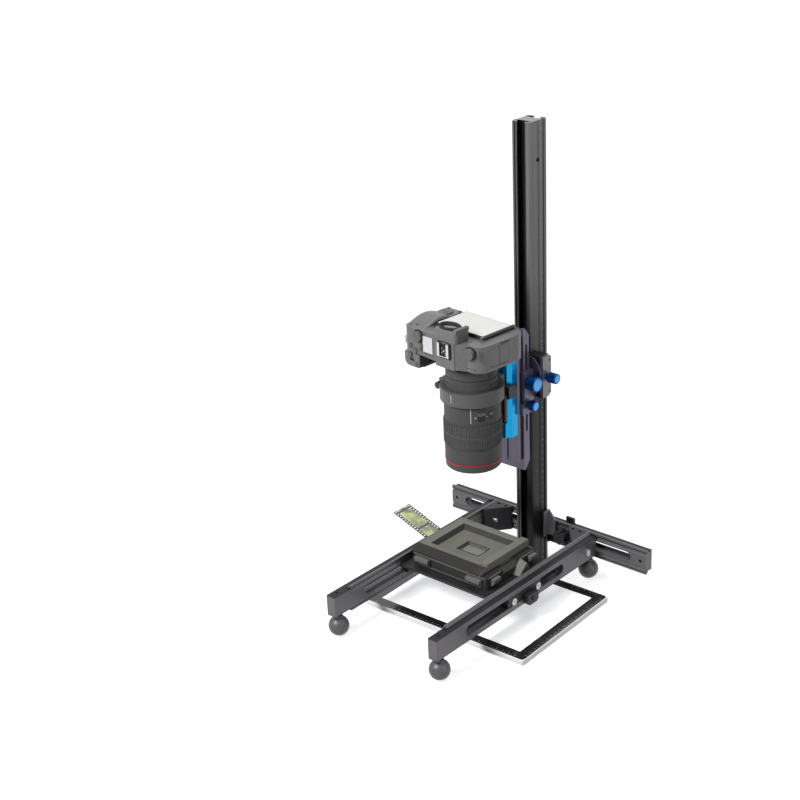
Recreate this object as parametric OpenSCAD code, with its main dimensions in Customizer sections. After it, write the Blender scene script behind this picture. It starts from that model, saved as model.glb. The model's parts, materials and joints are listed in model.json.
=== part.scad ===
// Slide duplicator: a copy stand with a column, a rack-driven camera, a film holder and a light pad.
// X runs right along the rear rail, Y runs back to the column, Z is up.
// The origin is on the table under the optical axis.

/* [Base frame] */
// Distance between the centre planes of the two side rails
rail_gap = 180; // [172:1:196]
// Height of every rail across its two lips
rail_h = 37.7; // [36:0.1:42]
// Thickness of every rail
rail_t = 14.7; // [13.5:0.1:17]
// Height of the bar behind the lips
bar_h = 30.9; // [29:0.1:33]
// Width of the lip along the rail's top and bottom
lip_t = 3.5; // [2.5:0.1:4.5]
// Reach of the side rails in front of the optical axis
front_reach = 203; // [190:1:230]
// Length of the plain block at the front end of each side rail
end_block = 32; // [24:1:40]
// Length of the rear rail
rear_rail_len = 352; // [320:1:380]
// Offset of the rear rail to the right
rear_rail_shift = 6; // [-6:1:10]
// Width of the long slots
slot_w = 15; // [13:0.5:16]
// Distance from a side rail's front end to its slot
slot_front = 60.5; // [50:0.5:66]
// Distance from a side rail's rear end to its slot
slot_rear = 79.5; // [70:0.5:86]
// Length of each slot in the rear rail
rear_slot_len = 128; // [118:1:134]
// Distance between the rear rail's centre and each of its slots
rear_slot_offset = 22; // [20:0.5:26]
// Radius of the ball feet
foot_r = 14.5; // [12:0.1:18]
// Height of the neck above a ball foot
foot_neck = 1.7; // [1.2:0.1:4]
// Leg of a corner gusset along the rear rail
gusset_x = 30; // [24:0.5:34]
// Leg of a corner gusset along the side rail
gusset_y = 35; // [28:0.5:40]

/* [Column] */
// Distance from the optical axis to the column's front face
axis_reach = 112.4; // [110:0.2:124]
// Width of the column
column_w = 30; // [29:0.5:33]
// Depth of the column
column_d = 38.1; // [36:0.1:42]
// Height of the column's top end above the table
column_top = 663; // [640:1:760]
// Gap between the column's lower end and the table
column_gap = 1; // [0.8:0.1:3]
// Width of the mouth of the column's slots
mouth_w = 12.4; // [11.5:0.1:13]
// Width of the slots behind the mouth
cavity_w = 19; // [17.5:0.1:20.5]
// Depth of the slots behind the lips
cavity_d = 6.4; // [5.5:0.1:7]
// Thickness of the lips at the mouth
mouth_t = 2.8; // [2.4:0.1:3.4]
// Radius of the round disc between the column's foot and the rear rail
foot_disc_r = 24; // [20:0.5:26]
// Thickness of that disc
foot_disc_t = 3; // [2.5:0.1:4]

/* [Carriage] */
// Height of the carriage's centre above the table
carriage_z = 311; // [300:1:330]
// Width of the carriage across its side plates
carriage_w = 77; // [74:0.5:84]
// Height of the carriage
carriage_h = 60; // [56:0.5:68]
// Depth of the carriage
carriage_d = 19; // [18:0.5:22]
// Thickness of the carriage in front of the column
carriage_face_t = 4.9; // [4.5:0.1:7]
// Thickness of each side plate
plate_t = 5; // [4:0.1:6]
// Radius of the round mount disc
mount_disc_r = 37; // [32:0.5:38]
// Thickness of the mount disc
mount_disc_t = 3; // [2.5:0.1:4]
// Radius of the small lock knobs
lock_knob_r = 7; // [6:0.1:8]
// Length of the carriage's lock knob
lock_knob_len = 17; // [14:0.5:20]
// Length of the slider's lock knob
slider_knob_len = 12; // [10:0.5:15]

/* [Focusing rail] */
// Width of the slider block
slider_w = 50; // [49:0.5:54]
// Height of the slider's upper block
slider_h = 46; // [42:0.5:52]
// Height of the slider's lower lock block
lock_block_h = 17; // [15:0.5:21]
// Depth of the slider block
slider_d = 21.2; // [21:0.1:24]
// Drop of the slider's parting line below the carriage's centre
slider_drop = 33; // [30:0.5:36]
// Width of the rack rail's back
rack_w = 41; // [39:0.2:42]
// Depth of the rack rail's back
rack_d = 13.3; // [12.8:0.1:14]
// Length of the rack rail
rack_len = 212; // [200:1:230]
// Width of the rack rail's front flange
flange_w = 38; // [36:0.2:40]
// Thickness of the front flange
flange_t = 4; // [3.5:0.1:5]
// Depth of the neck between the flange and the back
neck_d = 6.2; // [5.5:0.1:7]
// Tooth module of the rack and pinion
tooth_module = 0.8; // [0.75:0.01:0.84]
// Radius of the big focus knob
focus_knob_r = 10.5; // [9:0.1:12]
// Length of the big focus knob
focus_knob_len = 13; // [10:0.5:16]

/* [Quick plate and lens foot] */
// Width of the blue quick plate
quick_w = 36; // [34:0.5:38]
// Thickness of the quick plate
quick_t = 18; // [16:0.2:19]
// Length of the quick plate
quick_len = 112; // [104:1:118]
// Height of the foot clamp on the quick plate
clamp_h = 18; // [15:0.5:20]

/* [Lens] */
// Radius of the lens barrel
lens_r = 38.9; // [37:0.1:40]
// Drop from the carriage's centre to the lens's front rim
lens_drop = 97; // [92:1:104]
// Length of the front ring with the coloured line
front_ring_len = 13; // [11:0.5:15]
// Length of the smooth barrel between the front ring and the focus ring
smooth_len = 23; // [18:0.5:26]
// Length of the ribbed focus ring
focus_len = 33; // [28:0.5:36]
// Length of the switch panel zone
panel_len = 29; // [26:0.5:31]
// Length of the collar
collar_len = 19; // [16:0.5:21]
// Wall of the collar ring
collar_t = 4.6; // [4:0.1:6]
// Length of the barrel above the collar
tail_len = 8; // [6:0.5:9]
// Length of the adapter between the lens and the camera
adapter_len = 22.5; // [19:0.5:25]
// Radius of the adapter
adapter_r = 35.3; // [34:0.1:36.5]

/* [Camera] */
// Width of the camera
camera_w = 143; // [135:1:149]
// Share of the camera's width on the grip side of the lens axis
grip_share = 0.636; // [0.6:0.001:0.65]
// Height of the camera's shoulders above the lens axis
shoulder_y = 37; // [35:0.5:40]
// Distance from the lens axis to the camera's base
base_y = 51; // [48:0.5:53]
// Depth of the camera's body
body_d = 37.5; // [34:0.5:42]
// Turn of the camera in the lens collar in degrees
camera_turn = -5; // [-10:0.5:5]
// Depth of the grip in front of the body
grip_d = 20; // [16:0.5:22]
// Rise of the finder hump over the shoulders
hump_rise = 10; // [8:0.5:13]

/* [Stage and film holder] */
// Height of the stage plate's underside above the rails' underside
stage_lift = 23.3; // [22:0.1:25]
// Thickness of the stage plate
stage_t = 4; // [3:0.1:5]
// Depth of the stage plate
stage_d = 130; // [124:1:136]
// Offset of the film holder to the left of the rails' centre
holder_shift = 4.75; // [3:0.05:7]
// Width of the film tray
tray_w = 134.5; // [128:0.5:138]
// Depth of the film tray
tray_d = 108.8; // [104:0.2:114]
// Height of the film tray
tray_h = 18; // [16:0.5:22]
// Wall of the film tray
tray_wall = 3; // [2.5:0.1:4]
// Height of the bars of the gate frame
bar_rise = 8; // [7:0.1:10]
// Extra height of the gate frame's right bar
right_bar_rise = 3; // [2:0.1:4]
// Width of the film window
window_w = 37; // [36:0.1:38]
// Height of the film window
window_h = 25; // [24:0.1:26]
// Width of the film strip
film_w = 35; // [34.8:0.1:35.2]
// Length of the strip outside the holder on the left
film_out = 72; // [60:1:84]
// Steepness of the strip outside the holder in degrees
film_angle = 20; // [12:1:24]

/* [Light pad] */
// Width of the light pad
pad_w = 274; // [262:1:276]
// Depth of the light pad
pad_d = 206; // [196:1:210]
// Thickness of the light pad
pad_t = 8; // [7:0.2:10]
// Width of the black border
border_w = 17; // [14:0.5:22]
// Turn of the pad on the table in degrees
pad_turn = 1.6; // [0:0.1:2]
// Distance the pad reaches past the optical axis to the right
pad_right = 155.4; // [150:0.2:158]

/* [Hidden] */
$fn = 48;
// Overrun of every cut
over = 1;
// Gap between pieces that slide on each other
slide_gap = 0.25;
// Radial gap of a turning shaft
shaft_gap = 0.05;
// Gap between a knob and the face behind it
knob_gap = 0.4;

// Levels and lines that the frame is built on
rail_z0 = 2*foot_r + foot_neck;
rail_z1 = rail_z0 + rail_h;
rail_zc = rail_z0 + rail_h/2;
bar_z1 = rail_zc + bar_h/2;
inner_x = rail_gap/2 - rail_t/2;
outer_x = rail_gap/2 + rail_t/2;
column_back = axis_reach + column_d;
rear_y = column_back + foot_disc_t;
side_len = front_reach + rear_y;

// Rail section: two small grooves run along the lip side
groove_w = 4;
groove_d = 2.5;
groove_drop = 7;
notch_d = 1.2;

// Screws of the frame
cap_head_r = 5;
cap_head_len = 4;
shank_r = 2.95;
shank_gap = 0.05;
foot_inset_front = 13;
foot_inset_rear = 8.5;
foot_stud_len = 12;
foot_neck_r = 6;
gusset_flat = 4;
gusset_screw_y = 22.6;
gusset_screw_len = 32;
gusset_hole_r = 2.4;
gusset_hole_depth = 14;
end_hole_r = 2.5;
end_hole_depth = 16;
end_hole_inset = 9.4;
foot_ys = [foot_inset_front - front_reach, rear_y - foot_inset_rear];
gusset_hole_shares = [0.3, 0.72];

// Column
column_edge = 2;
side_recess = 1;
side_recess_share = 0.62;
column_bore_r = 2.1;
column_bore_depth = 25;
column_bore_x = 12.2;
column_bore_y = 13.5;
side_hole_r = 3;
side_hole_drop = 53;
side_hole_depth = 5.4;
bolt_r = 3;
bolt_head_r = 5.2;
bolt_head_len = 5;
bolt_z = 12;
bolt_reach = 10;
bracket_w = 14;
bracket_t = 3;
bracket_up = 36;
bracket_down = 4;
clamp_x = 41;
clamp_knob_r = 11;
clamp_knob_len = 13;
clamp_plate_w = 14;
clamp_plate_t = 4;
clamp_plate_up = 21.5;
clamp_plate_down = 13;

// Carriage
carriage_y0 = axis_reach - carriage_face_t;
carriage_y1 = carriage_y0 + carriage_d;
body_x = carriage_w/2 - plate_t;
lock_y = carriage_y0 + carriage_d/2;
tongue_reach = mouth_t + slide_gap;
tongue_head = 4;
plate_corner = 5;
plate_screw_r = 2;
plate_screw_depth = 10;
plate_screw_z = 23.5;
plate_screw_inset = 4;
pad_block_t = 5;
pad_block_w = 9;
pad_block_h = 16;
lock_stud_r = 3;
lock_hub_r = 5;
lock_hub_len = 4;
disc_flat_share = 0.94;

// Focusing rail
slider_y1 = carriage_y0 - mount_disc_t;
slider_y0 = slider_y1 - slider_d;
part_z = carriage_z - slider_drop;
slider_z1 = part_z + slider_h;
lock_block_z0 = part_z - lock_block_h;
lock_block_shift = 4;
back_wall = 4.3;
rack_y1 = slider_y1 - back_wall - slide_gap;
rack_y0 = rack_y1 - rack_d;
neck_y0 = rack_y0 - neck_d;
flange_y0 = neck_y0 - flange_t;
neck_w = 31;
rack_wall = 4.5;
rack_floor = 1.8;
channel_w = rack_w - 2*rack_wall;
channel_y0 = rack_y0 + rack_floor;
rack_top_over = 62;
rack_z1 = slider_z1 + rack_top_over;
rack_z0 = rack_z1 - rack_len;
rack_corner_y = 9;
rack_corner_z = 12;
flange_short = 15;
flange_bevel = 2.5;
teeth = 10;
pitch_r = teeth*tooth_module/2;
tip_r = pitch_r + tooth_module;
root_r = pitch_r - 1.25*tooth_module;
mesh_gap = 0.2;
tooth_pitch = PI*tooth_module;
rack_root = 1.35*tooth_module;
rack_tooth_h = 2.2*tooth_module;
rack_pitch_y = channel_y0 + rack_root;
pinion_y = rack_pitch_y + pitch_r + mesh_gap;
pinion_drop = 17;
pinion_z = slider_z1 - pinion_drop;
pinion_w = 8;
rack_tooth_w = 10;
shaft_r = 1.6;
tongue_w = 22;
tongue_h = 30;
travel_up = 70;
travel_down = 50;
knob_hub_r = 7.5;
knob_hub_len = 1.5;
slider_lock_drop = 4;
slider_lock_in = 6;
slider_lock_z = part_z - slider_lock_drop;
slider_lock_y = rack_y0 + slider_lock_in;
slider_stud_r = 2.5;

// Quick plate and lens foot
quick_y1 = flange_y0;
quick_y0 = quick_y1 - quick_t;
quick_rise = 33;
quick_z1 = carriage_z + quick_rise;
quick_z0 = quick_z1 - quick_len;
quick_bevel = 5;
quick_groove_w = 3;
quick_groove_d = 2;
quick_groove_x = 9;
quick_block_h = 23;
quick_block_t = 3;
clamp_drop = 8;
clamp_z = carriage_z - clamp_drop;
clamp_wall = 4;
clamp_grip = 12;
clamp_front = 6;
collar_r = lens_r + collar_t;
foot_x = 9;
foot_under = 4;
lever_x = 15;
lever_w = 9;
lever_t = 6;
lever_len = 36;
lever_drop = 6;
lever_pin_r = 2;
lever_pin_len = 6;

// Lens heights
lens_z = carriage_z - lens_drop;
front_z1 = lens_z + front_ring_len;
focus_z0 = front_z1 + smooth_len;
focus_z1 = focus_z0 + focus_len;
collar_z0 = focus_z1 + panel_len;
collar_z1 = collar_z0 + collar_len;
tail_z1 = collar_z1 + tail_len;
adapter_z1 = tail_z1 + adapter_len;
mount_ring_h = 4.5;
camera_z0 = adapter_z1 + mount_ring_h;
camera_z1 = camera_z0 + body_d;
lens_bore_r = 31;
front_bore_r = 34;
rim_cut = 2.2;
focus_seat = 3;
ring_gap = 0.15;
collar_gap = 0.15;
tail_r = 36;
line_h = 1.6;
line_drop = 1.2;
line_rise = 0.2;
glass_r = 33.6;
glass_t = 4;
glass_inset = 5;
glass_crown = 2;
adapter_bore_r = 27;
adapter_band_h = 7;
adapter_band_cut = 1.6;
mount_ring_r = 33.5;
collar_ear_w = 9;
collar_ear_t = 12;
collar_ear_h = 15;
collar_screw_r = 5;
collar_screw_len = 9;
collar_pin_r = 2;
switch_w = 10;
switch_h = 5;
switch_t = 1.6;
switch_turn = 33;
switch_drop = 8;
stem_w = 4;
stem_h = 3;
stem_in = 2.5;
switch_travel = 4;
rib_count = 72;
rib_w = 1.6;
rib_t = 0.7;
rib_split = 3;
focus_proud = 1.2;
front_in = 0.7;
switch_z1 = collar_z0 - switch_drop;

// Camera
grip_x = -camera_w*grip_share;
port_x = camera_w*(1 - grip_share);
grip_end_r = 11;
port_end_r = 17;
thumb_x0 = grip_x + 3;
thumb_w = 31;
thumb_y0 = -20;
thumb_d = 66;
thumb_rise = 4.2;
grip_w = 34;
grip_r = 14;
grip_skin = 2;
hump_w = 46;
hump_r = 6;
hump_back = 10;
socket_r = 3.175;
socket_depth = 9;
socket_z = 18;
eyecup_w = 40;
eyecup_h = 27;
eyecup_t = 16;
eyecup_wall = 3;
eyecup_r = 6;
screen_w = 88;
screen_h = 57.5;
screen_t = 4.5;
screen_gap = 0.3;
screen_right = 34.5;
screen_low = 47.4;
screen_r = 3;
shoe_w = 21;
shoe_l = 19;
shoe_t = 3.6;
shoe_wall = 1.4;
shoe_lip = 3;
shoe_z = 11;
hump_shift = -3;
display_w = 15;
display_l = 17;
display_t = 1;
display_x = -39;
display_z = 14;
dial_r = 7.5;
dial_t = 5;
mode_dial_x = -61;
mode_dial_z = 9;
power_dial_x = 35;
power_dial_z = 10;
power_dial_r = 8;
button_r = 4.5;
button_t = 3;
button_travel = 1;
shutter_x = -69;
shutter_z = 5.5;
record_x = -56;
record_z = 16;
record_r = 2.6;
door_w = 34;
door_h = 26;
door_t = 1.6;
door_gap = 0.3;
door_z = 19;

screen_z = camera_z1 + screen_gap + screen_t/2;
dial_places = [[mode_dial_x, camera_z1 - mode_dial_z], [power_dial_x, camera_z1 - power_dial_z]];
button_places = [[shutter_x, camera_z0 + shutter_z, button_r], [record_x, camera_z0 + record_z, record_r]];
door_axis_z = camera_z0 + door_z - door_h/2 + door_t/2;

// Stage and film holder
stage_z0 = rail_z0 + stage_lift;
stage_z1 = stage_z0 + stage_t;
stage_w = 2*(inner_x - slide_gap);
stage_shift = -3;
stage_window_w = 96;
stage_window_h = 80;
stage_screw_span = 54;
stage_screw_y = -15.3;
stage_screw_ys = [stage_screw_y - stage_screw_span/2, stage_screw_y + stage_screw_span/2];
foot_leg_t = 4;
foot_leg_h = 14;
foot_leg_w = 30;
foot_leg_in = 20;
stage_shank_len = 22;
side_block_t = 8;
side_block_l = 24;
side_block_h = 16;
side_block_y = -19;
side_block_drop = 1;
side_block_r = 4;
guide_in = 1;
guide_over = 10;
side_block_gap = 0.3;
side_screw_r = 3;
side_screw_len = 2.5;
tray_z1 = stage_z1 + tray_h;
tray_r = 6;
tray_x0 = -holder_shift - tray_w/2;
tray_x1 = tray_x0 + tray_w;
deck_t = 3;
deck_drop = 1;
deck_gap = 12;
ramp_h = 11;
notch_gap = 0.5;
vent_w = 25;
vent_d = 1;
vent_x = 18.2;
vent_drop = 4.2;
film_t = 0.4;
film_seat = 0.15;
rim_lip = 1.2;
exit_w = 41;
exit_y = 1.5;
exit_drop = 6.6;
tray_window_w = 60;
tray_window_h = 46;
vent_h = 1.6;
pad_grip_w = 25;
pad_grip_h = 11;
pad_grip_t = 7;
pad_grip_drop = 2.5;
pad_share = 0.34;
side_pad_w = 15;
hinge_r = 1.6;
hinge_out = 3.4;
hinge_up = 3;
knuckle_r = 3;
knuckle_len = 12;
knuckle_gap = 0.3;
frame_x1 = 50;
front_bar_w = 24;
front_bar_slope = 5;
back_bar_w = 12;
left_bar_w = 15;
right_bar_w = 12;
lid_gap = 0.3;
gate_t = 2.6;
gate_seat = 0.1;
gate_margin = 1;
gate_foot = 7;
plate_x0 = -50;
plate_x1 = 35;
plate_y0 = -22;
plate_y1 = 36;
film_right = 52;

film_z1 = tray_z1 - deck_drop + film_seat + film_t;
hinge_y = tray_d/2 + hinge_out;
hinge_z = tray_z1 + hinge_up;
hinge_x = 20;
hinge_x0 = -hinge_x - knuckle_len - knuckle_gap;
hinge_x1 = hinge_x + knuckle_len + knuckle_gap;
lid_over = 1.6;
front_pad_xs = [-50.5, 41.5];
side_pad_ys = [-39, 43];

// Light pad
panel_t = 2;
panel_seat = 0.05;
pad_corner = 3;
lug_w = 3;
shoe_floor = 0.8;
shoe_slot = 2;
dial_stem_r = 2;
dial_stem_len = 4;
button_up = 1.6;
well_gap = 0.2;
hinge_pin_r = 1;
door_pin_r = 0.5;
door_pin_len = 1.5;
eyecup_y = -46;
eyecup_window_w = 24;
eyecup_window_h = 15;
mount_bore_r = 27;
mount_bore_d = 20;
grip_y0 = -30;
pad_y = -2;

// Box from its lowest to its highest corner
module block(a, b) { translate(a) cube([b[0] - a[0], b[1] - a[1], b[2] - a[2]]); }
// Rod along X, Y or Z between two stations
module rod_x(r, x0, x1, y, z) { translate([x0, y, z]) rotate([0, 90, 0]) cylinder(r = r, h = x1 - x0); }
module rod_y(r, y0, y1, x, z) { translate([x, y1, z]) rotate([90, 0, 0]) cylinder(r = r, h = y1 - y0); }
module rod_z(r, z0, z1, x, y) { translate([x, y, z0]) cylinder(r = r, h = z1 - z0); }
// Plate with round corners, centred on X and Y
module round_plate(w, d, r, h) {
    linear_extrude(height = h) {
        square([w - 2*r, d], center = true);
        square([w, d - 2*r], center = true);
        for (sx = [-1, 1], sy = [-1, 1]) translate([sx*(w/2 - r), sy*(d/2 - r)]) circle(r = r);
    }
}
// Soft block: eight balls wrapped together
module soft_block(a, b, r) {
    hull() for (x = [a[0] + r, b[0] - r], y = [a[1] + r, b[1] - r], z = [a[2] + r, b[2] - r])
        translate([x, y, z]) sphere(r = r, $fn = 16);
}

// Section of a rail: X runs from the lip side to the plain side, Y is up from the middle
module rail_section() {
    step = (rail_h - bar_h)/2;
    difference() {
        polygon([[0, -rail_h/2], [lip_t, -rail_h/2], [lip_t + step, -bar_h/2 + notch_d],
            [lip_t + step + notch_d, -bar_h/2], [rail_t, -bar_h/2], [rail_t, bar_h/2],
            [lip_t + step + notch_d, bar_h/2], [lip_t + step, bar_h/2 - notch_d], [lip_t, rail_h/2],
            [0, rail_h/2]]);
        for (s = [-1, 1]) translate([0, s*(rail_h/2 - groove_drop)])
            polygon([[-over, groove_w/2], [0, groove_w/2], [groove_d, 0], [0, -groove_w/2],
                [-over, -groove_w/2]]);
    }
}
// Slot that runs along Z through the thickness of a rail section
module slot_along(z0, z1) {
    for (z = [z0 + slot_w/2, z1 - slot_w/2])
        translate([-over, 0, z]) rotate([0, 90, 0]) cylinder(r = slot_w/2, h = rail_t + 2*over);
    translate([-over, -slot_w/2, z0 + slot_w/2]) cube([rail_t + 2*over, slot_w, z1 - z0 - slot_w]);
}
// Side rail with its lips towards the middle; side is 1 on the right and -1 on the left
module side_rail(side) {
    color([0.27, 0.26, 0.28]) difference() {
        mirror([side < 0 ? 1 : 0, 0, 0]) translate([inner_x, rear_y, rail_zc]) rotate([90, 0, 0])
            difference() {
                union() {
                    linear_extrude(height = side_len - end_block) rail_section();
                    linear_extrude(height = side_len) translate([0, -bar_h/2]) square([rail_t, bar_h]);
                }
                slot_along(slot_rear, side_len - slot_front);
            }
        side_rail_holes(side);
    }
}
module side_rail_holes(side) {
    x = side*rail_gap/2;
    rod_z(end_hole_r, bar_z1 - end_hole_depth, bar_z1 + over, x, foot_inset_front - front_reach);
    for (y = foot_ys) rod_z(shank_r + shank_gap, rail_z0 - over, rail_z0 + foot_stud_len, x, y);
    rod_x(shank_r + shank_gap, x - rail_t, x + rail_t, rear_y - gusset_screw_y, rail_zc);
}
module side_rail_left() { side_rail(-1); }
module side_rail_right() { side_rail(1); }
module rear_rail() {
    color([0.27, 0.26, 0.28]) difference() {
        translate([rear_rail_shift - rear_rail_len/2, rear_y, rail_zc]) rotate([90, 0, 90])
            difference() {
                linear_extrude(height = rear_rail_len) rail_section();
                for (z = [rear_rail_len/2 - rear_slot_offset - rear_slot_len,
                    rear_rail_len/2 + rear_slot_offset]) slot_along(z, z + rear_slot_len);
            }
        for (s = [-1, 1]) {
            rod_y(end_hole_r, rear_y - over, rear_y + rail_t + over,
                rear_rail_shift + s*(rear_rail_len/2 - end_hole_inset), rail_zc);
            rod_y(bolt_r + shank_gap, rear_y - over, rear_y + rail_t + over, 0, rail_zc + s*bolt_z/2);
        }
    }
}

// Corner gusset: a block that closes the corner between a side rail and the rear rail
module gusset(side) {
    color([0.2, 0.19, 0.21]) difference() {
        mirror([side < 0 ? 1 : 0, 0, 0]) translate([0, 0, rail_z0]) linear_extrude(height = rail_h)
            polygon([[inner_x, rear_y], [inner_x, rear_y - gusset_y],
                [inner_x - gusset_flat, rear_y - gusset_y], [inner_x - gusset_x, rear_y - gusset_flat],
                [inner_x - gusset_x, rear_y]]);
        x1 = side*(inner_x + over);
        x0 = side*(inner_x - gusset_hole_depth - gusset_flat);
        rod_x(shank_r + shank_gap, min(x0, x1), max(x0, x1), rear_y - gusset_screw_y, rail_zc);
        for (k = gusset_hole_shares) rod_z(gusset_hole_r, rail_z1 - gusset_hole_depth, rail_z1 + over,
            side*(inner_x - k*gusset_x), rear_y - gusset_flat - gusset_hole_r);
    }
}
module corner_gusset_left() { gusset(-1); }
module corner_gusset_right() { gusset(1); }

// Cap screw along X: the head stands outside, the shank runs inwards from x
module cap_screw_x(side, x, y, z, len) {
    difference() {
        union() {
            rod_x(cap_head_r, min(side*x, side*(x + cap_head_len)), max(side*x, side*(x + cap_head_len)), y, z);
            rod_x(shank_r, min(side*x, side*(x - len)), max(side*x, side*(x - len)), y, z);
        }
        translate([side*(x + cap_head_len/2), y, z]) rotate([0, side*90, 0])
            cylinder(r = cap_head_r/2, h = cap_head_len, $fn = 6);
    }
}
module frame_screws() {
    color("silver") for (s = [-1, 1])
        cap_screw_x(s, outer_x, rear_y - gusset_screw_y, rail_zc, gusset_screw_len);
}
module ball_feet() {
    color([0.3, 0.3, 0.31]) for (s = [-1, 1], y = foot_ys) translate([s*rail_gap/2, y, 0]) {
        translate([0, 0, foot_r]) sphere(r = foot_r);
        translate([0, 0, 2*foot_r - foot_neck]) cylinder(r = foot_neck_r, h = 2*foot_neck);
        translate([0, 0, rail_z0 - foot_neck]) cylinder(r = shank_r, h = foot_stud_len + foot_neck);
    }
}

// Column section: X across, Y deep, with a slot in the front and in the back
module column_section() {
    difference() {
        polygon([[-column_w/2 + column_edge, 0], [column_w/2 - column_edge, 0],
            [column_w/2, column_edge], [column_w/2, column_d - column_edge],
            [column_w/2 - column_edge, column_d],
            [-column_w/2 + column_edge, column_d], [-column_w/2, column_d - column_edge],
            [-column_w/2, column_edge]]);
        for (k = [0, 1]) translate([0, k*column_d]) mirror([0, k, 0]) {
            translate([-mouth_w/2, -over]) square([mouth_w, mouth_t + 2*over]);
            translate([-cavity_w/2, mouth_t]) square([cavity_w, cavity_d]);
        }
        for (s = [-1, 1]) translate([s*column_w/2, column_d/2])
            square([2*side_recess, side_recess_share*column_d], center = true);
    }
}
module column() {
    color([0.12, 0.11, 0.12]) difference() {
        translate([0, axis_reach, column_gap]) linear_extrude(height = column_top - column_gap)
            column_section();
        for (sx = [-1, 1], sy = [-1, 1]) rod_z(column_bore_r, column_top - column_bore_depth,
            column_top + over, sx*column_bore_x, axis_reach + column_d/2 + sy*column_bore_y);
        rod_x(side_hole_r, column_w/2 - side_hole_depth, column_w/2 + over,
            axis_reach + column_d/2, column_top - side_hole_drop);
        for (s = [-1, 1]) rod_y(bolt_r + shank_gap, column_back - cavity_d - mouth_t - bolt_reach,
            column_back + over, 0, rail_zc + s*bolt_z/2);
    }
}
module column_foot_disc() {
    color([0.09, 0.09, 0.1]) difference() {
        rod_y(foot_disc_r, column_back, rear_y, 0, rail_zc);
        for (s = [-1, 1]) rod_y(bolt_r + shank_gap, column_back - over, rear_y + over, 0, rail_zc + s*bolt_z/2);
    }
}
// Angle bracket beside the column's foot, with one flange on the column and one towards the disc
module column_foot_bracket() {
    x0 = column_w/2;
    color([0.55, 0.55, 0.57]) {
        translate([0, column_back, 0]) rotate([90, 0, 0]) linear_extrude(height = bracket_t)
            polygon([[x0, rail_zc - bracket_down], [x0 + bracket_w, rail_zc - bracket_down],
                [x0 + bracket_w, rail_zc + bracket_up - bracket_w], [x0 + bracket_t, rail_zc + bracket_up],
                [x0, rail_zc + bracket_up]]);
        block([x0, column_back - bracket_w, rail_zc - bracket_down],
            [x0 + bracket_t, column_back - bracket_t, rail_zc + bracket_up]);
    }
}
// Two bolts that hold the column's foot through the disc and the rear rail
module column_bolts() {
    color([0.3, 0.3, 0.32]) for (s = [-1, 1]) {
        rod_y(bolt_head_r, rear_y + rail_t, rear_y + rail_t + bolt_head_len, 0, rail_zc + s*bolt_z/2);
        rod_y(bolt_r, column_back - bolt_reach, rear_y + rail_t, 0, rail_zc + s*bolt_z/2);
    }
}
module foot_clamp_plate() {
    color([0.2, 0.2, 0.21]) difference() {
        block([clamp_x - clamp_plate_w/2, rear_y + rail_t, rail_zc - clamp_plate_down],
            [clamp_x + clamp_plate_w/2, rear_y + rail_t + clamp_plate_t, rail_zc + clamp_plate_up]);
        rod_y(lock_stud_r + shaft_gap, rear_y, rear_y + rail_t + clamp_plate_t + over, clamp_x, rail_zc);
    }
}
// Dark six-lobed knob in front of the rear rail, with its stud through the slot
module foot_clamp_knob() {
    y1 = rear_y - knob_gap;
    color([0.13, 0.12, 0.14]) {
        difference() {
            rod_y(clamp_knob_r, y1 - clamp_knob_len, y1, clamp_x, rail_zc);
            for (a = [0:60:300]) rotate_at_knob(a) rod_y(clamp_knob_r/3, y1 - clamp_knob_len - over,
                y1 + over, clamp_knob_r*1.12, 0);
        }
        rod_y(lock_stud_r, y1, rear_y + rail_t + clamp_plate_t, clamp_x, rail_zc);
    }
}
module rotate_at_knob(a) { translate([clamp_x, 0, rail_zc]) rotate([0, a, 0]) children(); }

// Carriage body: a block round the front of the column, with a tongue in the column's slot
module carriage_body() {
    z0 = carriage_z - carriage_h/2;
    z1 = carriage_z + carriage_h/2;
    channel = column_w/2 + slide_gap;
    color([0.12, 0.11, 0.13]) {
        difference() {
            block([-body_x, carriage_y0, z0], [body_x, carriage_y1, z1]);
            block([-channel, axis_reach - slide_gap, z0 - over], [channel, carriage_y1 + over, z1 + over]);
            block([column_w/2, lock_y - pad_block_w/2 - slide_gap, carriage_z - pad_block_h/2 - slide_gap],
                [column_w/2 + slide_gap + pad_block_t + slide_gap, lock_y + pad_block_w/2 + slide_gap,
                carriage_z + pad_block_h/2 + slide_gap]);
            rod_x(lock_stud_r + shaft_gap, column_w/2, body_x + over, lock_y, carriage_z);
            plate_screw_bores(body_x - plate_screw_depth, body_x + over);
        }
        translate([0, 0, z0]) linear_extrude(height = carriage_h) translate([0, axis_reach - slide_gap])
            polygon(tongue_points());
    }
}
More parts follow.
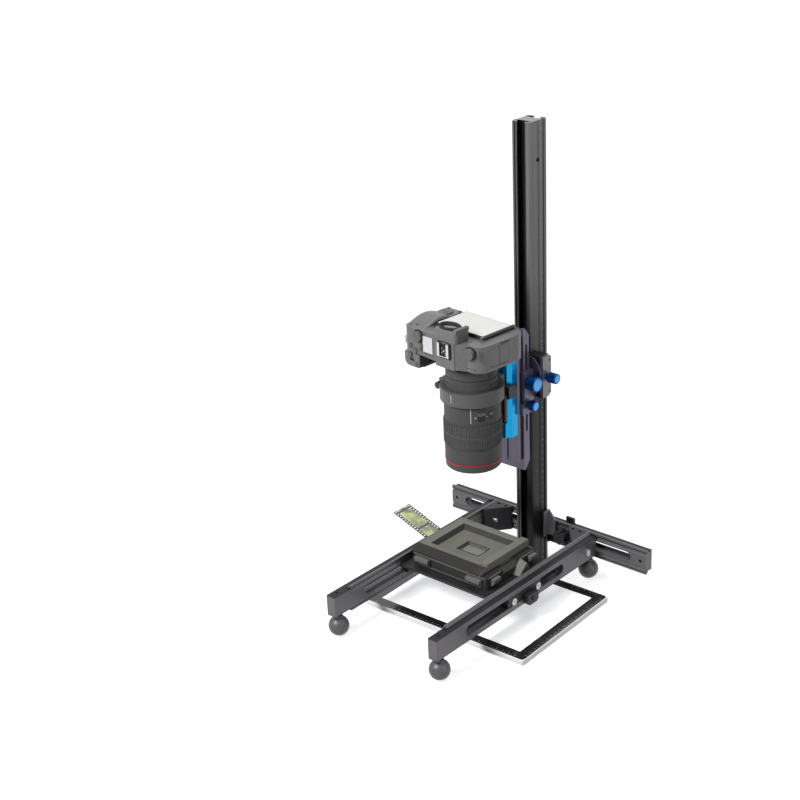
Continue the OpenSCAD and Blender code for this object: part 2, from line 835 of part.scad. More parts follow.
// Outline of the tongue: a neck through the mouth and a head in the cavity
function tongue_points() = let (n = mouth_w/2 - slide_gap, h = cavity_w/2 - slide_gap,
    y1 = tongue_reach + 2*slide_gap, y2 = y1 + tongue_head)
    [[-n, 0], [n, 0], [n, y1], [h, y1], [h, y2], [-h, y2], [-h, y1], [-n, y1]];
module plate_screw_bores(x0, x1) {
    for (side = [0, 1], s = [-1, 1]) mirror([side, 0, 0])
        rod_x(plate_screw_r + shaft_gap, x0, x1, carriage_y1 - plate_screw_inset, carriage_z + s*plate_screw_z);
}
module carriage_plates() {
    color([0.62, 0.62, 0.64]) difference() {
        for (side = [0, 1]) mirror([side, 0, 0]) translate([body_x, 0, carriage_z]) rotate([90, 0, 90])
            linear_extrude(height = plate_t) polygon([[carriage_y0, -carriage_h/2],
                [carriage_y1 - plate_corner, -carriage_h/2], [carriage_y1, plate_corner - carriage_h/2],
                [carriage_y1, carriage_h/2 - plate_corner/2], [carriage_y1 - plate_corner/2, carriage_h/2],
                [carriage_y0, carriage_h/2]]);
        plate_screw_bores(body_x - over, body_x + plate_t + over);
        rod_x(lock_stud_r + shaft_gap, body_x - over, body_x + plate_t + over, lock_y, carriage_z);
    }
}
module carriage_screws() {
    color([0.08, 0.08, 0.08]) for (side = [0, 1], s = [-1, 1]) mirror([side, 0, 0])
        rod_x(plate_screw_r, body_x - plate_screw_depth, carriage_w/2, carriage_y1 - plate_screw_inset,
            carriage_z + s*plate_screw_z);
}
module carriage_clamp_pad() {
    color([0.75, 0.72, 0.6]) block([column_w/2 + slide_gap, lock_y - pad_block_w/2, carriage_z - pad_block_h/2],
        [column_w/2 + slide_gap + pad_block_t, lock_y + pad_block_w/2, carriage_z + pad_block_h/2]);
}
// Small blue knob: a head, a hub and a stud that reaches in to x0
module lock_knob(face_x, x0, y, z, stud, len) {
    x = face_x + knob_gap;
    difference() {
        union() {
            rod_x(lock_knob_r, x + lock_hub_len, x + len, y, z);
            rod_x(lock_hub_r, x, x + lock_hub_len, y, z);
            rod_x(stud, x0, x, y, z);
        }
        for (a = [0:30:330]) translate([0, y, z]) rotate([a, 0, 0])
            rod_x(lock_knob_r/8, x + lock_hub_len + lock_knob_r/6, x + len - lock_knob_r/4, lock_knob_r, 0);
    }
}
module carriage_lock_knob() {
    color([0.05, 0.35, 0.62]) lock_knob(carriage_w/2, column_w/2 + slide_gap + pad_block_t + slide_gap,
        lock_y, carriage_z, lock_stud_r, lock_knob_len);
}
module mount_disc() {
    color([0.35, 0.33, 0.37]) intersection() {
        rod_y(mount_disc_r, slider_y1, carriage_y0, 0, carriage_z);
        block([-mount_disc_r, slider_y1 - over, carriage_z - disc_flat_share*carriage_h/2],
            [mount_disc_r, carriage_y0 + over, carriage_z + disc_flat_share*carriage_h/2]);
    }
}

// Slider: wraps the back of the rack rail and carries the pinion on a tongue inside it
module slider_body() {
    g = slide_gap;
    color([0.33, 0.31, 0.36]) {
        difference() {
            union() {
                block([-slider_w/2, slider_y0, part_z], [slider_w/2, slider_y1, slider_z1]);
                block([-slider_w/2, slider_y0 - lock_block_shift, lock_block_z0],
                    [slider_w/2, slider_y1 - lock_block_shift, part_z]);
            }
            block([-rack_w/2 - g, rack_y0 - g, lock_block_z0 - over], [rack_w/2 + g, rack_y1 + g, slider_z1 + over]);
            block([-neck_w/2 - g, slider_y0 - lock_block_shift - over, lock_block_z0 - over],
                [neck_w/2 + g, rack_y0, slider_z1 + over]);
            block([-flange_w/2 - g, slider_y0 - lock_block_shift - over, lock_block_z0 - over],
                [flange_w/2 + g, neck_y0 + g, slider_z1 + over]);
            rod_x(shaft_r + shaft_gap, rack_w/2, slider_w/2 + over, pinion_y, pinion_z);
            rod_x(slider_stud_r + shaft_gap, rack_w/2, slider_w/2 + over, slider_lock_y, slider_lock_z);
            pinion_room();
        }
        difference() {
            block([-tongue_w/2, channel_y0 + 4*tooth_module, slider_z1 - tongue_h],
                [tongue_w/2, rack_y1 + g, slider_z1]);
            pinion_room();
            rod_x(shaft_r + shaft_gap, -tongue_w/2 - over, tongue_w/2 + over, pinion_y, pinion_z);
        }
    }
}
module pinion_room() {
    rod_x(tip_r + 2*slide_gap, -pinion_w/2 - slide_gap, pinion_w/2 + slide_gap, pinion_y, pinion_z);
}
module slider_lock_knob() {
    color([0.05, 0.35, 0.62]) lock_knob(slider_w/2, rack_w/2 + slide_gap, slider_lock_y, slider_lock_z,
        slider_stud_r, slider_knob_len);
}
// Pinion on its shaft, in mesh with the rack's middle tooth gap
module pinion_shaft() {
    color([0.7, 0.68, 0.6]) {
        translate([-pinion_w/2, pinion_y, pinion_z]) rotate([0, 90, 0]) difference() {
            linear_extrude(height = pinion_w) {
                circle(r = root_r);
                for (k = [0:teeth - 1]) rotate([0, 0, 90 + (k + 0.5)*360/teeth])
                    polygon([[root_r*0.9, -0.72*tooth_module], [pitch_r, -0.66*tooth_module],
                        [tip_r, -0.3*tooth_module], [tip_r, 0.3*tooth_module], [pitch_r, 0.66*tooth_module],
                        [root_r*0.9, 0.72*tooth_module]]);
            }
            translate([0, 0, -over]) cylinder(r = shaft_r, h = pinion_w + 2*over);
        }
        rod_x(shaft_r, -tongue_w/2, slider_w/2 + knob_gap + knob_hub_len + focus_knob_len/2, pinion_y, pinion_z);
    }
}
// Turn that puts a gap of the pinion over the rack tooth nearest to it
module focus_knob() {
    x = slider_w/2 + knob_gap;
    color([0.05, 0.4, 0.68]) difference() {
        union() {
            rod_x(knob_hub_r, x, x + knob_hub_len, pinion_y, pinion_z);
            rod_x(focus_knob_r, x + knob_hub_len, x + knob_hub_len + focus_knob_len, pinion_y, pinion_z);
        }
        rod_x(shaft_r, x - over, x + knob_hub_len + focus_knob_len/2, pinion_y, pinion_z);
        for (a = [0:15:345]) translate([0, pinion_y, pinion_z]) rotate([a, 0, 0])
            rod_x(focus_knob_r/16, x + knob_hub_len + focus_knob_r/6,
                x + knob_hub_len + focus_knob_len - focus_knob_r/8, focus_knob_r, 0);
    }
}
// Rack rail: a flange in front, a neck, and an open back channel with the teeth on its floor
module rack_rail() {
    color([0.42, 0.39, 0.46]) {
        difference() {
            union() {
                translate([0, rack_y1, 0]) rotate([90, 0, 0]) linear_extrude(height = rack_d)
                    square_from(-rack_w/2, rack_z0, rack_w/2, rack_z1);
                block([-neck_w/2, neck_y0, rack_z0 + flange_short], [neck_w/2, rack_y0, rack_z1 - flange_short]);
                translate([0, 0, rack_z0 + flange_short]) linear_extrude(height = rack_len - 2*flange_short)
                    translate([0, flange_y0]) polygon([[-flange_w/2 + flange_bevel, 0],
                        [flange_w/2 - flange_bevel, 0], [flange_w/2, flange_bevel], [flange_w/2, flange_t],
                        [-flange_w/2, flange_t], [-flange_w/2, flange_bevel]]);
            }
            block([-channel_w/2, channel_y0, rack_z0 - over], [channel_w/2, rack_y1 + over, rack_z1 + over]);
            block([channel_w/2 - over, pinion_y - shaft_r - slide_gap, pinion_z - travel_up - 3*shaft_r],
                [rack_w/2 + over, pinion_y + shaft_r + slide_gap, pinion_z + travel_down + 3*shaft_r]);
            for (k = [0, 1]) translate([0, 0, k*(rack_z0 + rack_z1)]) mirror([0, 0, k])
                translate([0, rack_y1, rack_z0]) rotate([90, 0, 90]) translate([0, 0, -rack_w/2 - over])
                    linear_extrude(height = rack_w + 2*over) polygon([[over, -over],
                        [-rack_corner_y - over, -over], [-rack_corner_y, 0], [0, rack_corner_z],
                        [over, rack_corner_z]]);
            block([-quick_groove_w/2, flange_y0 - over, rack_z0], [quick_groove_w/2, flange_y0 + quick_groove_d,
                rack_z1]);
        }
        rack_teeth();
    }
}
module square_from(x0, y0, x1, y1) { translate([x0, y0]) square([x1 - x0, y1 - y0]); }
module rack_teeth() {
    m = tooth_module;
    count = floor((rack_len/2 - rack_corner_z)/tooth_pitch);
    translate([-rack_tooth_w/2, channel_y0, pinion_z]) rotate([90, 0, 90]) linear_extrude(height = rack_tooth_w)
        for (k = [-count:count]) translate([0, k*tooth_pitch])
            if (pinion_z + k*tooth_pitch > rack_z0 + rack_corner_z && pinion_z + k*tooth_pitch < rack_z1 - rack_corner_z)
                polygon([[-m/4, -1.15*m], [0, -1.15*m], [1.35*m, -0.66*m], [2.2*m, -0.36*m],
                    [2.2*m, 0.36*m], [1.35*m, 0.66*m], [0, 1.15*m], [-m/4, 1.15*m]]);
}

// Blue quick plate on the front of the rack rail
module quick_plate() {
    color([0.05, 0.55, 0.75]) {
        translate([0, 0, quick_z0]) linear_extrude(height = quick_len) difference() {
            polygon([[-quick_w/2 + quick_bevel, quick_y0], [quick_w/2 - quick_bevel, quick_y0],
                [quick_w/2, quick_y0 + quick_bevel], [quick_w/2, quick_y1], [-quick_w/2, quick_y1],
                [-quick_w/2, quick_y0 + quick_bevel]]);
            for (s = [-1, 1]) translate([s*quick_groove_x, quick_y0 - over])
                translate([-quick_groove_w/2, 0]) square([quick_groove_w, quick_groove_d + over]);
        }
        block([-quick_w/2 + quick_bevel, quick_y0 - quick_block_t, quick_z0],
            [quick_w/2 - quick_bevel, quick_y0, quick_z0 + quick_block_h]);
    }
}
// Dark jaws that grip the quick plate from the lens side
module foot_clamp() {
    w = quick_w/2 + clamp_wall;
    y0 = quick_y0 - clamp_front;
    color([0.16, 0.16, 0.17]) difference() {
        block([-w, y0, clamp_z - clamp_h/2], [w, quick_y0 + clamp_grip, clamp_z + clamp_h/2]);
        block([-quick_w/2, quick_y0, clamp_z - clamp_h/2 - over], [quick_w/2, quick_y1, clamp_z + clamp_h/2 + over]);
        rod_y(lever_pin_r + shaft_gap, y0 - over, quick_y0 + over, lever_x, clamp_z - lever_drop);
    }
}
// Lens foot: a bar from the collar back to the clamp, with a short tail down beside the barrel
module lens_foot() {
    y1 = quick_y0 - clamp_front;
    color([0.2, 0.2, 0.21]) {
        difference() {
            block([-foot_x, 0, collar_z0], [foot_x, y1, collar_z1]);
            rod_z(collar_r, collar_z0 - over, collar_z1 + over, 0, 0);
        }
        block([-foot_x, y1 - foot_under, clamp_z - clamp_h/2], [foot_x, y1, collar_z0]);
    }
}
// Paddle lever on the clamp's face, hanging down beside the foot
module clamp_lever() {
    y1 = quick_y0 - clamp_front - knob_gap;
    y0 = y1 - lever_t;
    z = clamp_z - lever_drop;
    color([0.12, 0.11, 0.12]) {
        rod_y(lever_w/2, y0, y1, lever_x, z);
        block([lever_x - lever_w/2, y0, z - lever_len + lever_w/2], [lever_x + lever_w/2, y1, z]);
        rod_y(lever_w/2, y0, y1, lever_x, z - lever_len + lever_w/2);
        rod_y(lever_pin_r, y1, y1 + lever_pin_len, lever_x, z);
    }
}

// Collar ring with two ears on the left, closed by a knob
module lens_collar() {
    color([0.24, 0.24, 0.25]) difference() {
        union() {
            rod_z(collar_r, collar_z0, collar_z1, 0, 0);
            block([-collar_r - collar_ear_w, -collar_ear_t/2, collar_z0 + (collar_len - collar_ear_h)/2],
                [-lens_r, collar_ear_t/2, collar_z1 - (collar_len - collar_ear_h)/2]);
        }
        rod_z(lens_r + collar_gap, collar_z0 - over, collar_z1 + over, 0, 0);
        block([-collar_r - collar_ear_w - over, -collar_t/4, collar_z0 - over],
            [-lens_r + over, collar_t/4, collar_z1 + over]);
        rod_y(collar_pin_r + shaft_gap, -collar_ear_t/2 - over, collar_ear_t/2 + over,
            -collar_r - collar_ear_w/2, (collar_z0 + collar_z1)/2);
    }
}
module collar_screw() {
    y1 = -collar_ear_t/2 - knob_gap;
    x = -collar_r - collar_ear_w/2;
    z = (collar_z0 + collar_z1)/2;
    color([0.15, 0.15, 0.16]) {
        rod_y(collar_screw_r, y1 - collar_screw_len, y1, x, z);
        rod_y(collar_pin_r, y1, collar_ear_t/2, x, z);
    }
}

// Turned ring between two heights, with its bore and two edge cuts
module turned(r, bore, z0, z1, cut0, cut1) {
    rotate_extrude() polygon([[bore, z0], [r - cut0, z0], [r, z0 + cut0], [r, z1 - cut1], [r - cut1, z1],
        [bore, z1]]);
}
module front_ring() {
    color([0.15, 0.15, 0.15]) difference() {
        turned(lens_r - front_in, front_bore_r, lens_z, front_z1, rim_cut, 0);
        translate([0, 0, front_z1 - line_h - line_drop]) difference() {
            cylinder(r = lens_r + over, h = line_h);
            translate([0, 0, -over]) cylinder(r = lens_r - front_in - line_rise, h = line_h + 2*over);
        }
    }
}
// Front glass: a disc with a crowned face
module front_element() {
    z0 = lens_z + glass_inset;
    color([0.3, 0.35, 0.45]) rotate_extrude() difference() {
        polygon(concat([[0, z0 + glass_t + glass_crown], [0, z0]],
            [for (k = [1:8]) [glass_r*k/8, z0 + glass_crown*k*k/64]],
            [[glass_r, z0 + glass_t + glass_crown]]));
    }
}
module lens_barrel() {
    r = lens_r - line_rise;
    color([0.2, 0.2, 0.2]) difference() {
        rotate_extrude() polygon([[lens_bore_r, front_z1], [r, front_z1], [r, focus_z0],
            [lens_r - focus_seat, focus_z0], [lens_r - focus_seat, focus_z1], [r, focus_z1],
            [r, collar_z0 - ring_gap], [r, collar_z1 + ring_gap], [tail_r, collar_z1 + ring_gap],
            [tail_r, tail_z1], [lens_bore_r, tail_z1]]);
        // Slot for the stem of the mode switch
        rotate([0, 0, -switch_turn]) block([r - stem_in - slide_gap, -stem_w/2 - slide_gap,
            switch_z1 - (switch_h + stem_h)/2 - switch_travel - slide_gap],
            [lens_r + over, stem_w/2 + slide_gap, switch_z1 - (switch_h - stem_h)/2 + slide_gap]);
    }
}
// Ribbed ring in two bands, which turns on the barrel
module focus_ring() {
    z0 = focus_z0 + ring_gap;
    z1 = focus_z1 - ring_gap;
    zm = (z0 + z1)/2;
    color([0.1, 0.1, 0.1]) {
        translate([0, 0, z0]) difference() {
            cylinder(r = lens_r + focus_proud - rib_t, h = z1 - z0);
            translate([0, 0, -over]) cylinder(r = lens_r - focus_seat + ring_gap, h = z1 - z0 + 2*over);
        }
        for (band = [[z0, zm - rib_split/2], [zm + rib_split/2, z1]], k = [0:rib_count - 1])
            rotate([0, 0, 360*k/rib_count]) block([lens_r + focus_proud - 2*rib_t, -rib_w/2, band[0]],
                [lens_r + focus_proud, rib_w/2, band[1]]);
    }
}
module mode_switch() {
    r = lens_r - line_rise;
    color([0.3, 0.3, 0.3]) rotate([0, 0, -switch_turn]) {
        block([r + knob_gap, -switch_w/2, switch_z1 - switch_h], [r + knob_gap + switch_t, switch_w/2, switch_z1]);
        block([r - stem_in, -stem_w/2, switch_z1 - (switch_h + stem_h)/2],
            [r + knob_gap, stem_w/2, switch_z1 - (switch_h - stem_h)/2]);
    }
}
module lens_adapter() {
    color([0.17, 0.17, 0.17]) difference() {
        turned(adapter_r, adapter_bore_r, tail_z1, adapter_z1, 0, 1);
        translate([0, 0, tail_z1 + adapter_band_h]) difference() {
            cylinder(r = adapter_r + over, h = adapter_band_cut);
            translate([0, 0, -over]) cylinder(r = adapter_r - adapter_band_cut, h = adapter_band_cut + 2*over);
        }
    }
}
module mount_ring() {
    color("silver") turned(mount_ring_r, adapter_bore_r, adapter_z1, camera_z0, 0, 0);
}

// Camera: its top faces -Y, its back faces up
module on_camera() { rotate([0, 0, camera_turn]) children(); }
module camera_body() {
    color([0.22, 0.22, 0.22]) on_camera() difference() {
        union() {
            translate([grip_x/2, (base_y - shoulder_y)/2, camera_z0])
                round_plate(-grip_x, base_y + shoulder_y, grip_end_r, body_d);
            translate([(grip_x/2 + port_x)/2, (base_y - shoulder_y)/2, camera_z0])
                round_plate(port_x - grip_x/2, base_y + shoulder_y, port_end_r, body_d);
            // Raised rest for the thumb beside the screen
            translate([thumb_x0 + thumb_w/2, thumb_y0 + thumb_d/2, camera_z1 - over])
                round_plate(thumb_w, thumb_d, grip_end_r, thumb_rise + over);
            translate([hump_shift, 0, camera_z0]) linear_extrude(height = body_d) polygon([[-hump_w/2, -shoulder_y + hump_r],
                [-hump_w/2, -shoulder_y], [-hump_w/2 + hump_r, -shoulder_y - hump_rise],
                [hump_w/2 - hump_r, -shoulder_y - hump_rise], [hump_w/2, -shoulder_y],
                [hump_w/2, -shoulder_y + hump_r]]);
            for (y = [screen_low - screen_h - screen_gap - lug_w, screen_low + screen_gap])
                block([screen_right - screen_t, y, camera_z1 - over],
                    [screen_right, y + lug_w, camera_z1 + screen_gap + screen_t]);
        }
        rod_z(mount_bore_r, camera_z0 - over, camera_z0 + mount_bore_d, 0, 0);
        rod_y(socket_r, base_y - socket_depth, base_y + over, 0, camera_z0 + socket_z);
        rod_y(hinge_pin_r + shaft_gap, screen_low - screen_h - screen_gap - lug_w - over,
            screen_low + screen_gap + lug_w + over, screen_right - screen_t/2, screen_z);
        for (d = dial_places) rod_y(dial_stem_r + shaft_gap, -shoulder_y - over,
            -shoulder_y + dial_stem_len + well_gap, d[0], d[1]);
        for (b = button_places) rod_y(b[2] + shaft_gap, -shoulder_y - over,
            -shoulder_y + button_t - button_up + button_travel + well_gap, b[0], b[1]);
        block([port_x - door_t - door_gap, -door_w/2 - door_gap, camera_z0 + door_z - door_h/2 - door_gap],
            [port_x + over, door_w/2 + door_gap, camera_z0 + door_z + door_h/2 + door_gap]);
        for (s = [-1, 1]) rod_y(door_pin_r + shaft_gap, min(0, s*(door_w/2 + door_gap + door_pin_len)),
            max(0, s*(door_w/2 + door_gap + door_pin_len)), port_x - door_t/2, door_axis_z);
    }
}
module camera_grip() {
    color([0.1, 0.1, 0.1]) on_camera() translate([grip_x + grip_w/2, (base_y + grip_y0)/2, camera_z0 - grip_d])
        difference() {
            round_plate(grip_w, base_y - grip_y0, grip_r, grip_d);
            for (s = [-1, 1]) translate([0, 0, -over]) mirror([s < 0 ? 1 : 0, 0, 0]) rotate([90, 0, 0])
                translate([0, 0, -base_y]) linear_extrude(height = 2*base_y)
                    polygon([[grip_w/2 - grip_d/3, 0], [grip_w/2 + over, 0], [grip_w/2 + over, grip_d/2]]);
        }
}
module eyecup() {
    color([0.07, 0.07, 0.07]) on_camera() translate([hump_shift, eyecup_y + eyecup_h/2, camera_z1]) difference() {
        round_plate(eyecup_w, eyecup_h, eyecup_r, eyecup_t);
        translate([0, 0, eyecup_wall]) round_plate(eyecup_window_w, eyecup_window_h, eyecup_wall, eyecup_t);
    }
}
// Rear screen, hung on a pin along its right edge
module screen_panel() {
    x = screen_right - screen_t/2;
    color([0.85, 0.85, 0.85]) on_camera() {
        block([screen_right - screen_w, screen_low - screen_h, camera_z1 + screen_gap],
            [x, screen_low, camera_z1 + screen_gap + screen_t]);
        rod_y(screen_t/2, screen_low - screen_h, screen_low, x, screen_z);
        rod_y(hinge_pin_r, screen_low - screen_h - screen_gap - lug_w, screen_low + screen_gap + lug_w, x, screen_z);
    }
}
module hot_shoe() {
    x = hump_shift;
    y = -shoulder_y - hump_rise;
    z0 = camera_z1 - shoe_z - shoe_l/2;
    w = shoe_w/2 - shoe_wall;
    color("silver") on_camera() difference() {
        block([x - shoe_w/2, y - shoe_t, z0], [x + shoe_w/2, y, z0 + shoe_l]);
        block([x - w, y - shoe_floor - shoe_slot, z0 + shoe_wall], [x + w, y - shoe_floor, z0 + shoe_l + over]);
        block([x + shoe_lip - w, y - shoe_t - over, z0 + shoe_wall],
            [x + w - shoe_lip, y - shoe_floor, z0 + shoe_l + over]);
    }
}
module top_display() {
    color([0.75, 0.78, 0.8]) on_camera() block([display_x - display_w/2, -shoulder_y - display_t,
        camera_z1 - display_z - display_l/2], [display_x + display_w/2, -shoulder_y,
        camera_z1 - display_z + display_l/2]);
}
// Dial on top of the camera, with a stem into the body
module dial(place, r) {
    rod_y(r, -shoulder_y - dial_t - well_gap, -shoulder_y - well_gap, place[0], place[1]);
    rod_y(dial_stem_r, -shoulder_y - well_gap, -shoulder_y + dial_stem_len, place[0], place[1]);
}
module mode_dial() { color([0.15, 0.15, 0.15]) on_camera() dial(dial_places[0], dial_r); }
module power_dial() { color([0.18, 0.18, 0.18]) on_camera() dial(dial_places[1], power_dial_r); }
module button(place) {
    rod_y(place[2], -shoulder_y - button_up, -shoulder_y - button_up + button_t, place[0], place[1]);
}
module shutter_button() { color([0.3, 0.3, 0.3]) on_camera() button(button_places[0]); }
module record_button() { color([0.3, 0.3, 0.3]) on_camera() button(button_places[1]); }
module port_door() {
    z1 = camera_z0 + door_z + door_h/2;
    color([0.16, 0.16, 0.16]) on_camera() {
        block([port_x - door_t, -door_w/2, door_axis_z], [port_x, door_w/2, z1]);
        rod_y(door_t/2, -door_w/2, door_w/2, port_x - door_t/2, door_axis_z);
        rod_y(door_pin_r, -door_w/2 - door_gap - door_pin_len, door_w/2 + door_gap + door_pin_len,
            port_x - door_t/2, door_axis_z);
    }
}

// Stage plate between the side rails, with a window for the light
module stage_plate() {
    color([0.24, 0.23, 0.25]) difference() {
        block([-stage_w/2, stage_shift - stage_d/2, stage_z0], [stage_w/2, stage_shift + stage_d/2, stage_z1]);
        block([-holder_shift - stage_window_w/2, -stage_window_h/2, stage_z0 - over],
            [-holder_shift + stage_window_w/2, stage_window_h/2, stage_z1 + over]);
    }
}
// Brackets under the plate, with a guide bar that runs in each side rail's slot
module stage_brackets() {
    leg = inner_x - slide_gap;
    color([0.16, 0.16, 0.17]) for (k = [0, 1]) mirror([k, 0, 0]) difference() {
        union() {
            for (y = stage_screw_ys) {
                block([leg - foot_leg_t, y - foot_leg_w/2, stage_z0 - foot_leg_h], [leg, y + foot_leg_w/2, stage_z0]);
                block([leg - foot_leg_in, y - foot_leg_w/2, stage_z0 - foot_leg_t],
                    [leg - foot_leg_t, y + foot_leg_w/2, stage_z0]);
            }
            block([leg - foot_leg_t, stage_screw_ys[0] - guide_over, rail_zc - slot_w/2 + slide_gap],
                [leg, stage_screw_ys[1] + guide_over, stage_z0]);
            block([leg, stage_screw_ys[0] - guide_over, rail_zc - slot_w/2 + slide_gap],
                [outer_x - guide_in, stage_screw_ys[1] + guide_over, rail_zc + slot_w/2 - slide_gap]);
        }
        for (y = stage_screw_ys) rod_x(shank_r + shank_gap, outer_x - stage_shank_len, outer_x + over, y, rail_zc);
    }
}
module stage_screws() {
    color("silver") for (s = [-1, 1], y = stage_screw_ys)
        cap_screw_x(s, outer_x - guide_in, y, rail_zc, stage_shank_len - guide_in);
}
// Small block outside the right rail, seated on the guide bar
module stage_clamp_block() {
    z1 = rail_zc - side_block_drop;
    z0 = z1 - side_block_h;
    x0 = outer_x + side_block_gap;
    color([0.3, 0.29, 0.31]) {
        translate([x0, 0, 0]) rotate([90, 0, 90]) linear_extrude(height = side_block_t)
            polygon([[side_block_y, z0 + side_block_r], [side_block_y + side_block_r, z0],
                [side_block_y + side_block_l - side_block_r, z0], [side_block_y + side_block_l, z0 + side_block_r],
                [side_block_y + side_block_l, z1], [side_block_y, z1]]);
        block([outer_x - guide_in, side_block_y, rail_zc - slot_w/2 + slide_gap], [x0, side_block_y + side_block_l, z1]);
        rod_x(side_screw_r, x0 + side_block_t, x0 + side_block_t + side_screw_len,
            side_block_y + side_block_l/2, (z0 + z1)/2);
    }
}

// Film tray: a wall round a raised deck, open below for the light
module film_tray() {
    x0 = tray_x0 + tray_wall;
    x1 = tray_x1 - tray_wall;
    y = tray_d/2 - tray_wall;
    deck = tray_z1 - deck_drop;
    color([0.2, 0.2, 0.19]) difference() {
        union() {
            translate([-holder_shift, 0, stage_z1]) difference() {
                round_plate(tray_w, tray_d, tray_r, tray_h);
                translate([0, 0, -over]) round_plate(tray_w - 2*tray_wall, tray_d - 2*tray_wall,
                    tray_r - tray_wall, tray_h + 2*over);
            }
            block([x0 - over, -y - over, deck - deck_t], [x1 + over, y + over, deck]);
            block([tray_x1 - deck_gap, exit_y - exit_w/2, deck - ramp_h], [x1 + over, exit_y + exit_w/2, deck]);
            for (s = [-1, 1]) translate([s*hinge_x, 0, 0]) tray_knuckle();
        }
        block([-holder_shift - tray_window_w/2, -tray_window_h/2, deck - deck_t - over],
            [-holder_shift + tray_window_w/2, tray_window_h/2, deck + over]);
        // Way out for the film on the left, and the slope on the right
        block([tray_x0 - over, exit_y - film_w/2 - notch_gap, deck],
            [x0 + over, exit_y + film_w/2 + notch_gap, tray_z1 + over]);
        translate([0, exit_y + exit_w/2, 0]) rotate([90, 0, 0]) linear_extrude(height = exit_w)
            polygon([[tray_x1 - deck_gap, deck + 2*over], [tray_x1 - deck_gap, deck],
                [tray_x1 + over, deck - exit_drop], [tray_x1 + over, deck + 2*over]]);
        for (s = [-1, 1]) block([-holder_shift + s*vent_x - vent_w/2, -tray_d/2 - over, tray_z1 - vent_drop - vent_h],
            [-holder_shift + s*vent_x + vent_w/2, -tray_d/2 + vent_d, tray_z1 - vent_drop]);
        rod_x(hinge_r + shaft_gap, hinge_x0 - over, hinge_x1 + over, hinge_y, hinge_z);
    }
}
// Knuckle of the tray with its arm down to the back wall
module tray_knuckle() {
    rod_x(knuckle_r, -knuckle_len/2, knuckle_len/2, hinge_y, hinge_z);
    block([-knuckle_len/2, tray_d/2 - over, hinge_z - 3*knuckle_r], [knuckle_len/2, hinge_y + knuckle_r, hinge_z]);
}
// Ribbed finger pads on the outside of the tray
module grip_pads() {
    color([0.35, 0.35, 0.34]) {
        for (k = [0, 1], x = front_pad_xs) mirror([0, k, 0]) translate([x, -tray_d/2, 0]) finger_pad(pad_grip_w);
        for (y = side_pad_ys) translate([tray_x1, y, 0]) rotate([0, 0, 90]) finger_pad(side_pad_w);
    }
}
module finger_pad(w) {
    z1 = tray_z1 - pad_grip_drop;
    t = pad_grip_t;
    translate([-w/2, 0, z1]) rotate([90, 0, 90]) linear_extrude(height = w)
        polygon([[0, 0], [-t, 0], [-t, -pad_grip_h/2], [-pad_share*t, -pad_grip_h], [0, -pad_grip_h]]);
}
module hinge_pin() {
    color("silver") rod_x(hinge_r, hinge_x0, hinge_x1, hinge_y, hinge_z);
}
// Hinged frame that holds the film down: four bars round a sunk opening
module gate_frame() {
    z0 = tray_z1 + lid_gap;
    z1 = tray_z1 + bar_rise;
    xr = frame_x1 - right_bar_w;
    y0 = -tray_d/2;
    y1 = tray_d/2 + lid_over;
    plate_z1 = film_z1 + gate_seat + gate_t;
    color([0.3, 0.3, 0.28]) difference() {
        union() {
            difference() {
                block([tray_x0, y0, z0], [frame_x1, y1, z1]);
                // Sunk opening whose walls slope down to the gate plate
                hull() {
                    block([tray_x0 + left_bar_w, y0 + front_bar_w, z1], [xr, y1 - back_bar_w, z1 + over]);
                    block([plate_x0, plate_y0, plate_z1 - over], [plate_x1, plate_y1, plate_z1]);
                }
                translate([tray_x0 - over, 0, 0]) rotate([90, 0, 90]) linear_extrude(height = tray_w + over)
                    polygon([[y0 - over, z1 - front_bar_slope], [y0, z1 - front_bar_slope],
                        [y0 + 2*front_bar_w/3, z1], [y0 + 2*front_bar_w/3, z1 + over], [y0 - over, z1 + over]]);
            }
            block([xr, y0 + 2*front_bar_w/3, z1 - over], [frame_x1, y1, z1 + right_bar_rise]);
            for (s = [-1, 1]) translate([s*hinge_x, 0, 0]) gate_knuckle();
        }
        block([plate_x0 - gate_margin, plate_y0 - gate_margin, z0 - over],
            [plate_x1 + gate_margin, plate_y1 + gate_margin, plate_z1]);
        // Room for the tray's knuckles and their arms
        for (s = [-1, 1]) translate([s*hinge_x, 0, 0]) {
            rod_x(knuckle_r + knuckle_gap, -knuckle_len/2 - knuckle_gap, knuckle_len/2 + knuckle_gap,
                hinge_y, hinge_z);
            block([-knuckle_len/2 - knuckle_gap, tray_d/2 - over - knuckle_gap, z0 - over],
                [knuckle_len/2 + knuckle_gap, y1 + over, hinge_z + knuckle_gap]);
        }
        rod_x(hinge_r + shaft_gap, hinge_x0 - over, hinge_x1 + over, hinge_y, hinge_z);
    }
}
// Pair of knuckles of the frame, one each side of a tray knuckle
module gate_knuckle() {
    for (s = [-1, 1]) {
        x = s*(knuckle_len/2 + knuckle_gap + knuckle_len/4);
        rod_x(knuckle_r, x - knuckle_len/4, x + knuckle_len/4, hinge_y, hinge_z);
        block([x - knuckle_len/4, tray_d/2, hinge_z], [x + knuckle_len/4, hinge_y, hinge_z + knuckle_r]);
    }
}
module gate_plate() {
    z0 = film_z1 + gate_seat;
    color([0.45, 0.46, 0.42]) difference() {
        block([plate_x0 - gate_margin, plate_y0 - gate_margin, z0],
            [plate_x1 + gate_margin, plate_y1 + gate_margin, z0 + gate_t]);
        block([-holder_shift - window_w/2, -window_h/2, z0 - over], [-holder_shift + window_w/2, window_h/2, z0 + gate_t + over]);
    }
}
